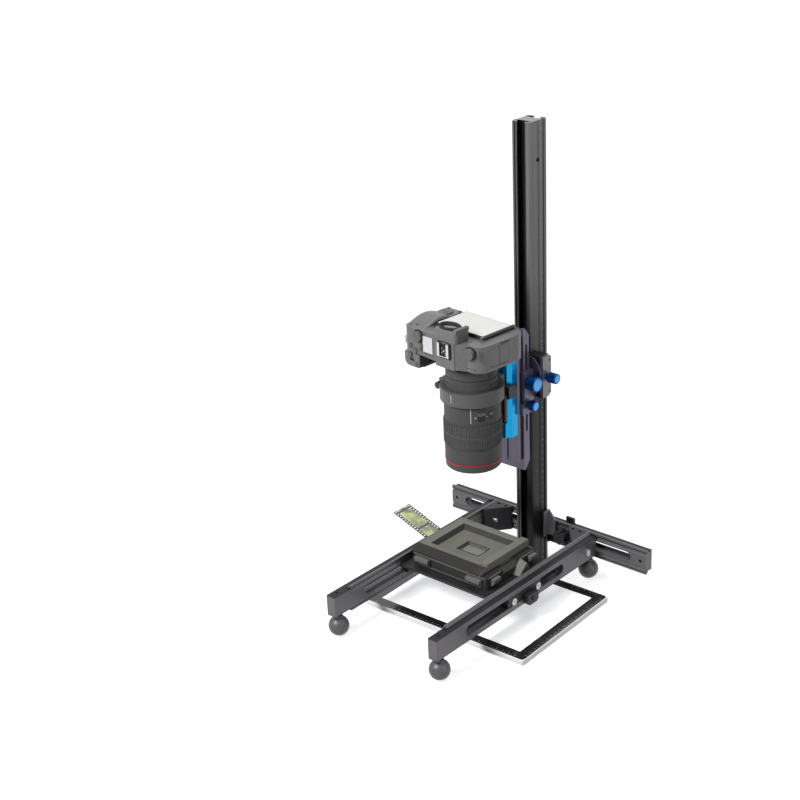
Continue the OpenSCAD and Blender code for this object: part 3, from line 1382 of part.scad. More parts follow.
// Film strip: flat in the holder, rising where it leaves it
module film_strip() {
    z0 = film_z1 - film_t;
    rise = [cos(film_angle), sin(film_angle)]*film_out;
    lean = film_t*tan(film_angle/2);
    color([0.55, 0.55, 0.4]) translate([0, exit_y + film_w/2, 0]) rotate([90, 0, 0]) linear_extrude(height = film_w)
        polygon([[film_right, z0], [film_right, film_z1], [tray_x0 + lean, film_z1],
            [tray_x0 - rise[0] + lean, film_z1 + rise[1]], [tray_x0 - rise[0], z0 + rise[1]], [tray_x0, z0]]);
}

// Light pad on the table, turned a little
module on_pad() {
    translate([pad_right - pad_w/2, pad_y, 0]) rotate([0, 0, pad_turn]) children();
}
module pad_body() {
    color([0.8, 0.82, 0.83]) on_pad() difference() {
        round_plate(pad_w, pad_d, pad_corner, pad_t);
        translate([0, 0, pad_t - panel_t]) linear_extrude(height = panel_t + over)
            square([pad_w - 2*border_w, pad_d - 2*border_w], center = true);
    }
}
module pad_panel() {
    color([0.97, 0.98, 1]) on_pad() translate([0, 0, pad_t - panel_t]) linear_extrude(height = panel_t)
        square([pad_w - 2*border_w - 2*panel_seat, pad_d - 2*border_w - 2*panel_seat], center = true);
}

side_rail_left();
side_rail_right();
rear_rail();
corner_gusset_left();
corner_gusset_right();
frame_screws();
ball_feet();
column();
column_foot_disc();
column_foot_bracket();
column_bolts();
foot_clamp_plate();
foot_clamp_knob();
carriage_body();
carriage_plates();
carriage_screws();
carriage_clamp_pad();
carriage_lock_knob();
mount_disc();
slider_body();
slider_lock_knob();
pinion_shaft();
focus_knob();
rack_rail();
quick_plate();
foot_clamp();
clamp_lever();
lens_foot();
lens_collar();
collar_screw();
front_ring();
front_element();
lens_barrel();
focus_ring();
mode_switch();
lens_adapter();
mount_ring();
camera_body();
camera_grip();
eyecup();
screen_panel();
hot_shoe();
top_display();
mode_dial();
power_dial();
shutter_button();
record_button();
port_door();
stage_plate();
stage_brackets();
stage_screws();
stage_clamp_block();
film_tray();
grip_pads();
hinge_pin();
gate_frame();
gate_plate();
film_strip();
pad_body();
pad_panel();
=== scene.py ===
"""Looks of the slide duplicator: a copy stand with a camera over a film holder and a light pad.

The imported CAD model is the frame. Here its pieces get rounded edges and finishes, and the small
pieces that a solid model leaves out are added: grip ribs, scales, buttons, glass, film pictures.
Lengths in this file are millimetres until they reach Blender, which works in metres.
"""
import json
import math

import bmesh
import bpy
from mathutils import Matrix, Vector


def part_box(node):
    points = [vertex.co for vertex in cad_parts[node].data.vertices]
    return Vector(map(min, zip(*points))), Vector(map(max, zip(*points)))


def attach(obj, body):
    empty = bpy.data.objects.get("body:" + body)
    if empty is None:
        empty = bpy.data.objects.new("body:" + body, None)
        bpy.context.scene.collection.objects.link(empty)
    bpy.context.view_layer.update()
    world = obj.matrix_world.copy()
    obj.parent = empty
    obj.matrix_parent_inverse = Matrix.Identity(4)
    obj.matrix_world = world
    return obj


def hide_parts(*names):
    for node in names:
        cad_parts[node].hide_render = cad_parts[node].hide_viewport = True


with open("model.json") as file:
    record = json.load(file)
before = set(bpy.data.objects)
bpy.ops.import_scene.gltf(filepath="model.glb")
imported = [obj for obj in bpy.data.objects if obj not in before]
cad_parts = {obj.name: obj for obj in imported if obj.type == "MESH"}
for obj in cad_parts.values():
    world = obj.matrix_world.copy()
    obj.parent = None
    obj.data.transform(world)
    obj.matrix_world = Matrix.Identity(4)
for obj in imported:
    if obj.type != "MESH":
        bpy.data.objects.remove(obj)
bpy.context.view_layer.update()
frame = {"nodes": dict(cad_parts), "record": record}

MM = 0.001
FINE = 128                      # sides of a large turned piece
ROUND = 48                      # sides of a small one
MERGE = 0.002                   # points closer than this become one
SHARP = math.radians(35)        # edges sharper than this are rounded
CAMERA_TURN = math.radians(-5)  # the camera hangs a little turned on its lens
BODY_OF = {node: body for body, nodes in frame["record"]["behaviour"]["bodies"].items() for node in nodes}
SLOT_OF = {part["node"]: part["material_slot"] for part in frame["record"]["subparts"]}


# ---- Working on meshes ----

def only(piece):
    """Selects this piece alone and makes it active."""
    bpy.ops.object.select_all(action="DESELECT")
    piece.select_set(True)
    bpy.context.view_layer.objects.active = piece


def passes(face, test):
    """Tries a test on a face's middle (mm) and normal."""
    return test(face.calc_center_median() / MM, face.normal)


class Editing:
    """Edit mode on one piece, with its faces or edges picked by a test."""

    def __init__(self, piece):
        self.piece = piece

    def __enter__(self):
        only(self.piece)
        bpy.ops.object.mode_set(mode="EDIT")
        return self

    def __exit__(self, *_):
        bpy.ops.object.mode_set(mode="OBJECT")

    def everything(self):
        bpy.ops.mesh.select_all(action="SELECT")

    def pick(self, kind, choose):
        """Selects the faces or edges that choose(mesh) gives, and says how many they are."""
        bpy.ops.mesh.select_mode(type=kind)
        bpy.ops.mesh.select_all(action="DESELECT")
        mesh = bmesh.from_edit_mesh(self.piece.data)
        mesh.normal_update()
        chosen = choose(mesh)
        for part in chosen:
            part.select = True
        mesh.select_flush_mode()
        bmesh.update_edit_mesh(self.piece.data)
        return len(chosen)

    def edges(self, test):
        """Selects the edges whose two ends (mm) pass the test."""
        return self.pick("EDGE", lambda mesh: [e for e in mesh.edges
                                               if test(e.verts[0].co / MM, e.verts[1].co / MM)])

    def round_edges(self, test, width, segments, **more):
        """Bevels the edges whose two ends (mm) pass the test."""
        if self.edges(test):
            bpy.ops.mesh.bevel(offset=width * MM, segments=segments, affect="EDGES", **more)

    def inset(self, test, thickness, depth):
        """Insets the faces whose middle (mm) and normal pass the test, and raises them by depth."""
        self.pick("FACE", lambda mesh: [f for f in mesh.faces if passes(f, test)])
        bpy.ops.mesh.inset(thickness=thickness * MM, depth=depth * MM)

    def merge(self):
        self.everything()
        bpy.ops.mesh.remove_doubles(threshold=MERGE * MM)

    def clean(self):
        self.merge()
        bpy.ops.mesh.normals_make_consistent(inside=False)


def placed(piece, at=(0, 0, 0), turn=(0, 0, 0), scale=(1, 1, 1)):
    """Stretches, turns and moves a piece, and keeps the result in its mesh."""
    piece.location = [c * MM for c in at]
    piece.rotation_euler = turn
    piece.scale = scale
    only(piece)
    bpy.ops.object.transform_apply(location=True, rotation=True, scale=True)
    return piece


def primitive(name, add, **settings):
    """A primitive with a name of its own, from the operator that adds it."""
    bpy.ops.object.select_all(action="DESELECT")
    add(**settings)
    piece = bpy.context.object
    piece.name = piece.data.name = name
    return piece


def block(name, low, high):
    """A cube primitive stretched between two corners."""
    return placed(primitive(name, bpy.ops.mesh.primitive_cube_add, size=1),
                  [(a + b) / 2 for a, b in zip(low, high)], scale=[(b - a) * MM for a, b in zip(low, high)])


AXES = {"Z": (0, 0, 0), "X": (0, math.pi / 2, 0), "Y": (-math.pi / 2, 0, 0)}


def turned(name, rings, at=(0, 0, 0), axis="Z", sides=ROUND):
    """A turned piece: a circle drawn along its axis through rings of (radius, height).

    One that ends on the ring it began with is hollow. The heights count from the point at.
    """
    first_r, first_h = rings[0]
    hollow = rings[0] == rings[-1]
    circle = primitive(name, bpy.ops.mesh.primitive_circle_add, vertices=sides, radius=first_r * MM,
                       fill_type="NOTHING" if hollow else "NGON")
    piece = placed(circle, (0, 0, first_h))
    with Editing(piece) as edit:
        bpy.ops.mesh.select_mode(type="VERT" if hollow else "FACE")
        edit.everything()
        for (r0, h0), (r1, h1) in zip(rings, rings[1:]):
            bpy.ops.mesh.extrude_region_move(TRANSFORM_OT_translate={"value": (0, 0, (h1 - h0) * MM)})
            if r1 != r0:
                bpy.ops.transform.resize(value=(r1 / r0, r1 / r0, 1), center_override=(0, 0, h1 * MM))
        edit.clean()
    return placed(piece, at, AXES[axis])


def hoop(inner, outer, low, high):
    """The rings of a hollow piece with a square section."""
    return [(inner, low), (outer, low), (outer, high), (inner, high), (inner, low)]


def ribbed(piece, test, thickness, depth, axis="Z"):
    """Raises (or sinks) every other face round a band as a rib; the band goes round the axis."""
    def angle(face):
        n = face.normal
        return math.atan2(n.y, n.x) if axis == "Z" else math.atan2(n.z, n.y)
    with Editing(piece) as edit:
        edit.pick("FACE", lambda mesh: sorted((f for f in mesh.faces if passes(f, test)), key=angle)[::2])
        bpy.ops.mesh.inset(thickness=thickness * MM, depth=depth * MM, use_individual=True)
    return piece


def edges_rounded(piece, test, width, segments):
    with Editing(piece) as edit:
        edit.round_edges(test, width, segments)
    return piece


def bevelled(piece, width, segments=2):
    """Rounds every sharp edge by width, and shades the piece smooth between sharp edges."""
    only(piece)
    rounding = piece.modifiers.new("rounding", "BEVEL")
    rounding.width = width * MM
    rounding.segments = segments
    rounding.limit_method = "ANGLE"
    rounding.angle_limit = SHARP
    rounding.miter_outer = "MITER_ARC"
    bpy.ops.object.modifier_apply(modifier="rounding")
    return shaded(piece)


def shaded(piece, smooth=40):
    """Shades a piece smooth, apart from edges sharper than so many degrees."""
    only(piece)
    bpy.ops.object.shade_smooth_by_angle(angle=math.radians(smooth))
    weights = piece.modifiers.new("flat_faces", "WEIGHTED_NORMAL")
    weights.keep_sharp = True
    weights.weight = 80
    bpy.ops.object.modifier_apply(modifier="flat_faces")
    return piece


def linked(name, data):
    """A new object in the scene."""
    piece = bpy.data.objects.new(name, data)
    bpy.context.scene.collection.objects.link(piece)
    return piece


def copied(piece, name, offset):
    """A copy with its own mesh, moved by offset."""
    twin = linked(name, piece.data.copy())
    twin.data.transform(Matrix.Translation(Vector(offset) * MM))
    return twin


def repeated(first, name, steps):
    """A piece and its moved copies, joined into one."""
    pieces = [copied(first, f"{name}_{i}", step) for i, step in enumerate(steps)]
    only(first)
    for piece in pieces:
        piece.select_set(True)
    bpy.ops.object.join()
    first.name = name
    return first


def cut(piece, *tools):
    """Takes the tools' shapes out of a piece."""
    for tool in tools:
        only(piece)
        cutting = piece.modifiers.new("cutting", "BOOLEAN")
        cutting.object = tool
        cutting.operation, cutting.solver = "DIFFERENCE", "EXACT"
        bpy.ops.object.modifier_apply(modifier="cutting")
        bpy.data.objects.remove(tool)
    return piece


def on_camera(piece):
    """Turns a piece made square to the camera to where the camera hangs."""
    return placed(piece, turn=(0, 0, CAMERA_TURN))


# ---- Node materials ----

class Signal:
    """A shader socket that can be used in a sum; each sum adds its Math node."""

    def __init__(self, finish, socket):
        self.finish = finish
        self.socket = socket

    def sum(self, operation, *values):
        return self.finish.node("ShaderNodeMath", {"operation": operation}, *values)

    def __add__(self, other):
        return self.sum("ADD", self, other)

    def __mul__(self, other):
        return self.sum("MULTIPLY", self, other)

    def __sub__(self, other):
        return self.sum("SUBTRACT", self, other)

    def __rsub__(self, other):
        return self.sum("SUBTRACT", other, self)

    def __truediv__(self, other):
        return self.sum("DIVIDE", self, other)

    def __lt__(self, other):
        return self.sum("LESS_THAN", self, other)

    def __gt__(self, other):
        return self.sum("GREATER_THAN", self, other)

    def either(self, other):
        return self.sum("MAXIMUM", self, other)

    def fraction(self):
        return self.sum("FRACT", self)

    def size(self):
        return self.sum("ABSOLUTE", self)

    def between(self, low, high):
        return (self > low) * (self < high)

    def ramp(self, *stops):
        """A colour ramp through stops of (place, colour)."""
        node = self.finish.tree.nodes.new("ShaderNodeValToRGB")
        steps = node.color_ramp.elements
        steps[0].position, steps[0].color = stops[0][0], (*stops[0][1], 1)
        steps[1].position, steps[1].color = stops[-1][0], (*stops[-1][1], 1)
        for place, colour in stops[1:-1]:
            steps.new(place).color = (*colour, 1)
        self.finish.tree.links.new(self.socket, node.inputs["Fac"])
        return Signal(self.finish, node.outputs["Color"])


class Nodes:
    """A node tree that is written with a few calls."""

    def __init__(self, owner, empty=False):
        owner.use_nodes = True
        self.tree = owner.node_tree
        if empty:
            self.tree.nodes.clear()

    def node(self, kind, settings, *values, out=0, **named):
        """Adds a node: its settings first, then the values or links of its sockets."""
        node = self.tree.nodes.new(kind)
        for setting, value in settings.items():
            setattr(node, setting, value)
        for key, value in [*enumerate(values), *((k.replace("_", " "), v) for k, v in named.items())]:
            if isinstance(value, Signal):
                self.tree.links.new(value.socket, node.inputs[key])
            else:
                node.inputs[key].default_value = value
        return Signal(self, node.outputs[out]) if node.outputs else None


class Finish(Nodes):
    """One material on the principled shader; its settings are the shader's own sockets."""

    def __init__(self, name, **settings):
        self.material = bpy.data.materials.new(name)
        super().__init__(self.material)
        self.shader = self.tree.nodes["Principled BSDF"]
        for socket, value in settings.items():
            self.shader.inputs[socket.replace("_", " ")].default_value = value
        self.place = self.node("ShaderNodeTexCoord", {}, out="Object")

    def axes(self, place=None):
        """The place on the object, in millimetres, as three signals."""
        split = self.node("ShaderNodeSeparateXYZ", {}, place or self.place).socket.node
        return [Signal(self, axis) * (1 / MM) for axis in split.outputs]

    def noise(self, size, detail, stretch=(1, 1, 1)):
        """Noise with features of about size millimetres, drawn out along the axes by stretch."""
        mapped = self.node("ShaderNodeMapping", {}, self.place, Scale=[1 / s for s in stretch])
        return self.node("ShaderNodeTexNoise", {}, Vector=mapped, Scale=1 / (size * MM), Detail=detail)

    def cells(self, size):
        return self.node("ShaderNodeTexVoronoi", {}, Vector=self.place, Scale=1 / (size * MM))

    def mix(self, mask, one, other):
        """One colour where the mask is 0, the other where it is 1."""
        node = self.tree.nodes.new("ShaderNodeMix")
        node.data_type = "RGBA"
        for place, value in ((0, mask), (6, one), (7, other)):
            if isinstance(value, Signal):
                self.tree.links.new(value.socket, node.inputs[place])
            else:
                node.inputs[place].default_value = (*value, 1) if isinstance(value, tuple) else value
        return Signal(self, node.outputs[2])

    def shades(self, mask, colour, low, high):
        """A colour between two shares of itself."""
        return self.mix(mask, *(tuple(c * share for c in colour) for share in (low, high)))

    def feed(self, socket, signal):
        self.tree.links.new(signal.socket, self.shader.inputs[socket])

    def glow(self, signal, strength):
        self.feed("Emission Color", signal)
        self.shader.inputs["Emission Strength"].default_value = strength
        return self

    def surface(self, colour, rough=None, height=None, depth=0.0):
        """Feeds the colour and, where they are given, the roughness and a bump of depth millimetres."""
        self.feed("Base Color", colour)
        if rough:
            self.feed("Roughness", rough)
        if height:
            self.feed("Normal", self.node("ShaderNodeBump", {}, Height=height, Distance=depth * MM,
                                          Strength=1.0))
        return self


def anodised(name, colour, rough=0.38, metallic=0.55, drawn=(1, 1, 1), contrast=0.12):
    """Bead-blasted and anodised aluminium: fine grain, slight drawn streaks, cloudy gloss."""
    f = Finish(name, Metallic=metallic, Specular_IOR_Level=0.35)
    streaks = f.noise(2.2, 3, drawn)
    clouds = f.noise(35, 2)
    fine = f.noise(0.25, 2)
    return f.surface(f.shades(streaks * 0.5 + clouds * 0.5, colour, 1 - contrast, 1 + contrast),
                     clouds * 0.14 + fine * 0.08 + (rough - 0.11), fine, 0.012)


def moulded(name, colour, rough=0.5, grain=0.35, depth=0.03, contrast=0.1, speckle=0.15, gloss=0.3):
    """Moulded plastic or paint with a fine pebbled grain."""
    f = Finish(name, Specular_IOR_Level=gloss)
    pebble = f.cells(grain)
    clouds = f.noise(18, 3)
    spread = contrast + speckle
    spots = (clouds * contrast + f.noise(grain * 3, 3) * speckle) * (1 / spread)
    return f.surface(f.shades(spots, colour, 1 - spread, 1 + spread),
                     clouds * 0.12 + pebble * 0.1 + (rough - 0.1), pebble, depth)


def rubber(name, colour, grain, depth):
    """Soft rubber with a leather-like grip grain."""
    f = Finish(name, Specular_IOR_Level=0.2)
    grip = f.cells(grain) * 0.8 + f.noise(grain / 2, 2) * 0.4
    return f.surface(f.shades(f.noise(12, 3), colour, 0.8, 1.25), grip * 0.12 + 0.6, grip, depth)


def brushed(name, colour, rough=0.28, drawn=(1, 1, 18)):
    """Bright metal with fine brushed lines along the drawn axis."""
    f = Finish(name, Metallic=1.0)
    lines = f.noise(0.5, 2, drawn)
    stains = f.noise(9, 3)
    return f.surface(f.shades(stains, colour, 0.9, 1.05), lines * 0.2 + stains * 0.1 + (rough - 0.15),
                     lines, 0.01)


def scale_marks(along, across, low, high, pitch, long_every, where, wide):
    """A mask of graduation marks: short ones at each pitch, every so many of them a long one."""
    step = (along / pitch + 1000).fraction()
    major = (along / (pitch * long_every) + 1000).fraction()
    share = wide / pitch
    short = (step < share) * across.between(low, low + (high - low) * 0.55)
    long = (major < share / long_every) * across.between(low, high)
    return short.either(long) * where


def frame_metal():
    """Rails: warm grey anodising; the left rail has a scale on its inner side."""
    f = Finish("frame_anodising", Metallic=0.45, Specular_IOR_Level=0.35)
    x, y, z = f.axes()
    streaks = f.noise(2.5, 3, (8, 8, 1))
    clouds = f.noise(40, 2)
    fine = f.noise(0.25, 2)
    grey = f.mix(streaks * 0.5 + clouds * 0.5, (0.105, 0.1, 0.107), (0.15, 0.144, 0.153))
    on_left = x.between(-88.0, -82.0) * y.between(-166.0, 120.0)
    marks = scale_marks(y, z, 59.2, 62.4, 5.0, 2, on_left, 0.8)
    low_marks = scale_marks(y, z, 35.6, 38.6, 10.0, 5, on_left, 0.8)
    marked = f.mix(marks.either(low_marks), grey, (0.36, 0.35, 0.37))
    seams = z.between(64.2, 65.6).either(z.between(33.5, 34.8))
    return f.surface(f.mix(seams, marked, (0.012, 0.011, 0.013)), clouds * 0.12 + fine * 0.1 + 0.3,
                     fine, 0.015)


COLUMN_TOP = 663.0              # height of the column's end
FACE_Y = 113.2                  # just behind the column's front face


def column_metal():
    """Column: near-black anodising drawn along the bar, with a painted reflection that makes its right side
    lighter towards the top.

    That side has a row of scale marks, the slot's left lip and inner wall carry a painted highlight with a
    painted groove shadow down the lip, and the sawn end is bare.
    """
    f = Finish("column_anodising", Metallic=0.6, Specular_IOR_Level=0.3)
    x, y, z = f.axes()
    drawn = f.noise(1.6, 3, (1, 1, 60))
    clouds = f.noise(60, 2)
    fine = f.noise(0.25, 2)
    dark = f.mix(drawn * 0.6 + clouds * 0.4, (0.009, 0.008, 0.0095), (0.02, 0.018, 0.021))
    front = y < FACE_Y
    right = (x > 13.2) * (y > FACE_Y)
    turned_side = right.either(front * (x > 8.2))
    # painted reflection: the right side and the front's right lip grow lighter towards the top
    painted_reflection = (z * (1 / COLUMN_TOP)).ramp((0.45, (0.012, 0.011, 0.0125)), (0.68, (0.14, 0.138, 0.142)),
                                           (1.0, (0.18, 0.178, 0.182)))
    side = f.mix(turned_side, dark, f.mix(drawn * 0.4, painted_reflection, (0.03, 0.028, 0.031)))
    # painted highlight down the slot's left lip and on its inner wall
    lip = front * (x < -6.1)
    wall = x.between(-6.7, -5.8) * y.between(FACE_Y, 115.4)
    painted_lip_highlight = f.mix(lip.either(wall), side, (0.1, 0.098, 0.101))
    # painted groove shadow: a black line down the lip
    painted_groove_shade = f.mix(lip * x.between(-10.6, -8.4), painted_lip_highlight, (0.004, 0.004, 0.004))
    pale = f.mix(right * y.between(145.0, 149.6), painted_groove_shade, (0.13, 0.125, 0.13))
    marks = scale_marks(z, y, 137.4, 140.2, 10.0, 5, right, 1.2)
    marked = f.mix(marks * 0.5, pale, (0.34, 0.34, 0.35))
    return f.surface(f.mix(z > COLUMN_TOP - 0.2, marked, (0.24, 0.24, 0.245)),
                     drawn * 0.16 + clouds * 0.08 + 0.2, drawn * 0.6 + fine * 0.4, 0.02)


def film_base():
    """Film: grey-green base with plain, out-of-focus yellow-green pictures of nothing in particular."""
    f = Finish("film_pictures", Coat_Weight=0.3, Coat_Roughness=0.15, Roughness=0.3)
    x, y, _ = f.axes()
    across = y - 1.5
    frame_step = (x / 38 + 20.55).fraction()
    picture = frame_step.between(0.04, 0.96) * (across.size() < 11.6)
    shapes = f.noise(19, 1) * 0.85 + f.noise(5, 3) * 0.15
    views = shapes.ramp((0.36, (0.2, 0.22, 0.19)), (0.47, (0.36, 0.4, 0.26)), (0.53, (0.52, 0.6, 0.16)),
                        (0.64, (0.62, 0.68, 0.42)))
    free_end = f.mix(x < -62.0, (0.15, 0.15, 0.12), views)
    return f.surface(f.mix(picture, (0.06, 0.065, 0.06), free_end))


def lens_glass():
    """Coated front glass: deep and dark, with the coating's violet-green reflection painted into its colour in
    clouds.
    """
    f = Finish("coated_glass", Roughness=0.04, Coat_Weight=1.0, Coat_Roughness=0.02)
    # painted reflection: violet and green clouds of the coating
    return f.surface(f.noise(26, 1).ramp((0.35, (0.004, 0.006, 0.012)), (0.5, (0.02, 0.008, 0.04)),
                                         (0.65, (0.006, 0.03, 0.024))))


def gate_plastic():
    """Lifting frame: pale olive on its top faces, with painted shade darkening the slopes and walls below them.
    """
    f = Finish("gate_plastic", Specular_IOR_Level=0.3)
    x, _, z = f.axes()
    pebble = f.cells(0.5)
    clouds = f.noise(18, 3)
    pale = f.mix(clouds, (0.15, 0.148, 0.128), (0.185, 0.182, 0.16))
    # painted shade: a darker copy of the same plastic for the slopes and walls below the top faces
    dark = f.mix(clouds, (0.02, 0.019, 0.017), (0.03, 0.029, 0.026))
    low = (z < 83.75) * (x < 49.6)
    return f.surface(f.mix(low, pale, dark), clouds * 0.12 + pebble * 0.1 + 0.35, pebble, 0.04)


def screen_glass():
    """Lit screen of the camera: an even pale picture behind gloss."""
    f = Finish("lit_screen", Roughness=0.12, Coat_Weight=0.5, Coat_Roughness=0.05)
    even = f.noise(45, 2)
    f.surface(f.mix(even, (0.4, 0.4, 0.385), (0.45, 0.45, 0.43)))
    return f.glow(f.mix(even, (0.8, 0.8, 0.765), (0.87, 0.87, 0.84)), 0.27)


def light_panel():
    """Lit panel of the light pad, with a faint unevenness."""
    f = Finish("lit_panel", Roughness=0.3)
    even = f.noise(120, 2)
    f.surface(f.mix(even, (0.78, 0.8, 0.82), (0.84, 0.85, 0.86)))
    return f.glow(f.mix(even, (0.9, 0.93, 0.96), (1.0, 1.0, 1.0)), 0.55)


def pad_border():
    """Black border of the light pad with small pale ruler marks along its outer edge."""
    f = Finish("pad_border", Roughness=0.22, Coat_Weight=0.4, Coat_Roughness=0.1)
    on_the_pad = f.node("ShaderNodeMapping", {"vector_type": "TEXTURE"}, f.place,
                        Location=(PAD_X * MM, PAD_Y * MM, 0), Rotation=(0, 0, PAD_TURN))
    x, y, _ = f.axes(on_the_pad)
    edge_x = PAD_W / 2 - x.size()
    edge_y = PAD_D / 2 - y.size()
    corner = 12.0
    along_x = scale_marks(x, edge_y, 2.2, 7.0, 5.0, 2, edge_x > corner, 0.55)
    along_y = scale_marks(y, edge_x, 2.2, 7.0, 5.0, 2, edge_y > corner, 0.55)
    black = f.mix(f.noise(30, 2), (0.006, 0.006, 0.0065), (0.011, 0.011, 0.012))
    return f.surface(f.mix(along_x.either(along_y), black, (0.34, 0.34, 0.34)))


PAD_X, PAD_Y, PAD_TURN = 18.4, -2.0, math.radians(1.6)
PAD_W, PAD_D, PAD_BORDER = 274.0, 206.0, 17.0

finishes = {
    "frame_metal": frame_metal(),
    "gusset_metal": anodised("gusset_anodising", (0.022, 0.02, 0.023), 0.42, metallic=0.2),
    "steel": brushed("bright_steel", (0.72, 0.72, 0.73)),
    "foot_metal": anodised("foot_paint", (0.1, 0.1, 0.105), 0.4, metallic=0.3),
    "column_metal": column_metal(),
    "bracket_metal": anodised("bracket_anodising", (0.2, 0.19, 0.21), 0.42),
    "dark_steel": brushed("blackened_steel", (0.09, 0.09, 0.095), 0.4),
    "knob_black": moulded("black_knob", (0.022, 0.02, 0.024), 0.42, 0.5, 0.02),
    "carriage_metal": anodised("carriage_anodising", (0.024, 0.022, 0.026), 0.36, metallic=0.4),
    "plate_metal": anodised("plate_anodising", (0.22, 0.21, 0.225), 0.36, metallic=0.5),
    "nylon": moulded("nylon", (0.62, 0.6, 0.52), 0.5),
    "knob_blue": anodised("blue_anodising", (0.008, 0.1, 0.32), 0.3, metallic=0.75, contrast=0.1),
    # a lighter copy of the blue anodising: painted highlight on the knobs' end faces
    "knob_face": anodised("blue_painted_highlight", (0.1, 0.36, 0.78), 0.32, metallic=0.6, contrast=0.08),
    "rail_metal": anodised("slide_anodising", (0.15, 0.13, 0.185), 0.34, metallic=0.5, drawn=(1, 1, 20)),
    "pinion_metal": brushed("brass", (0.7, 0.55, 0.27), 0.3),
    "quick_blue": anodised("cyan_anodising", (0.004, 0.34, 0.68), 0.25, metallic=0.65, drawn=(1, 1, 20)),
    "clamp_black": anodised("clamp_anodising", (0.04, 0.04, 0.044), 0.38, metallic=0.35),
    "collar_metal": moulded("collar_paint", (0.11, 0.108, 0.111), 0.4, 0.4, 0.02, gloss=0.2),
    "lens_metal": moulded("lens_paint", (0.075, 0.073, 0.076), 0.55, 0.35, 0.02, gloss=0.15),
    "lens_rubber": rubber("lens_rubber", (0.085, 0.083, 0.085), 0.5, 0.03),
    "lens_glass": lens_glass(),
    "switch_plastic": moulded("switch_plastic", (0.1, 0.1, 0.1), 0.35),
    "chrome": brushed("chrome", (0.55, 0.55, 0.56), 0.24, (12, 12, 1)),
    "camera_plastic": moulded("camera_grain", (0.12, 0.119, 0.121), 0.34, 0.55, 0.07, 0.12, 0.4, 0.55),
    "grip_rubber": rubber("grip_rubber", (0.02, 0.02, 0.021), 1.3, 0.2),
    "screen_gloss": moulded("screen_case", (0.035, 0.035, 0.036), 0.35, 0.5, 0.03),
    "display_gloss": moulded("display_glass", (0.66, 0.65, 0.68), 0.16, 0.8, 0.005, 0.1, 0.03),
    "control_plastic": moulded("control_plastic", (0.11, 0.11, 0.113), 0.36, 0.4, 0.02),
    "stage_metal": anodised("stage_anodising", (0.03, 0.028, 0.03), 0.42, metallic=0.3),
    "tray_plastic": moulded("tray_plastic", (0.028, 0.027, 0.026), 0.45, 0.5, 0.04),
    "finger_plastic": moulded("finger_plastic", (0.14, 0.138, 0.13), 0.5, 0.5, 0.04),
    "gate_plastic": gate_plastic(),
    "mask_plastic": moulded("mask_plastic", (0.155, 0.156, 0.13), 0.5, 0.5, 0.03),
    "film_base": film_base(),
    "pad_shell": moulded("pad_shell", (0.84, 0.85, 0.86), 0.3, 0.8, 0.01, 0.02, 0.02),
    "pad_light": light_panel(),
    "pad_border": pad_border(),
    "lit_screen": screen_glass(),
    "white_mark": moulded("white_paint", (0.75, 0.75, 0.74), 0.45, 0.4, 0.005, 0.04, 0.03),
    "red_mark": moulded("red_paint", (0.5, 0.02, 0.02), 0.35, 0.4, 0.005),
    # black of dark parts, also used as painted shade in recesses and round buttons and dials
    "black_and_painted_shade": moulded("black_and_painted_shade", (0.006, 0.006, 0.0065), 0.6, 0.6, 0.03),
}


def painted(piece, finish):
    """Gives a piece one finish all over."""
    piece.data.materials.clear()
    piece.data.materials.append(finishes[finish].material)


def fitted(piece, body, finish):
    """A finished new piece: painted and riding on its body."""
    painted(piece, finish)
    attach(piece, body)


def on_case(piece, finish="camera_plastic"):
    """A finished piece of the camera, made square to it."""
    fitted(on_camera(piece), "lens", finish)


def dark(piece):
    """A black groove, seam or recess in the camera's case; in the recesses and round buttons and dials the
    black is painted shade.
    """
    on_case(piece, "black_and_painted_shade")


def blocks(body, finish, soften, *rows, segments=2):
    """Blocks with softened edges; a row is a name and two corners."""
    for name, low, high in rows:
        fitted(bevelled(block(name, low, high), soften, segments), body, finish)


for node, part in frame["nodes"].items():
    painted(part, SLOT_OF[node])


def copy_of(node, name, dissolve=1.0, turn=0.0):
    """A copy of a CAD node, turned, without its stored normals and with its flat faces made whole."""
    piece = linked(name, frame["nodes"][node].data.copy())
    piece.data.transform(Matrix.Rotation(turn, 4, "Z"))
    only(piece)
    bpy.ops.mesh.customdata_custom_splitnormals_clear()
    with Editing(piece) as edit:
        edit.merge()
        bpy.ops.mesh.dissolve_limited(angle_limit=math.radians(dissolve))
    return piece


def rounded(node, width, segments=2, dissolve=1.0):
    """A copy of a CAD node with the small rounded edges of the real piece; it stands for the node."""
    piece = copy_of(node, node + "_finished", dissolve)
    if width:
        bevelled(piece, width, segments)
    else:
        shaded(piece)
    fitted(piece, BODY_OF[node], SLOT_OF[node])
    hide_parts(node)


def all_rounded(**widths):
    """Rounds CAD nodes, each by its width."""
    for node, width in widths.items():
        rounded(node, width)


# ---- Stand ----

all_rounded(side_rail_left=0.55, side_rail_right=0.55, rear_rail=0.55, corner_gusset_left=0.55,
            corner_gusset_right=0.55, column=0.4, column_foot_disc=0.4, column_foot_bracket=0.6,
            column_bolts=0.25, foot_clamp_plate=0.4, foot_clamp_knob=0.7, frame_screws=0.3,
            carriage_body=0.5, carriage_plates=0.6, carriage_screws=0.25, mount_disc=0.5, slider_body=0.6,
            rack_rail=0.5, quick_plate=0.8, foot_clamp=0.5, clamp_lever=0.8, lens_foot=0.8,
            stage_plate=0.4, stage_brackets=0.5, stage_screws=0.3, stage_clamp_block=0.6)
rounded("ball_feet", 0, dissolve=0.05)


def column_strips():
    """Thin drawn lines that run up the column's right side, beside its row of marks."""
    for number, y in enumerate((118.5, 133.0, 145.5)):
        line = block(f"column_line_{number}", (14.75, y - 0.35, 3), (15.12, y + 0.35, 660))
        with Editing(line) as edit:
            edit.inset(lambda c, n: n.x > 0.9, 0.12, 0.1)
        fitted(line, "frame", "column_metal")


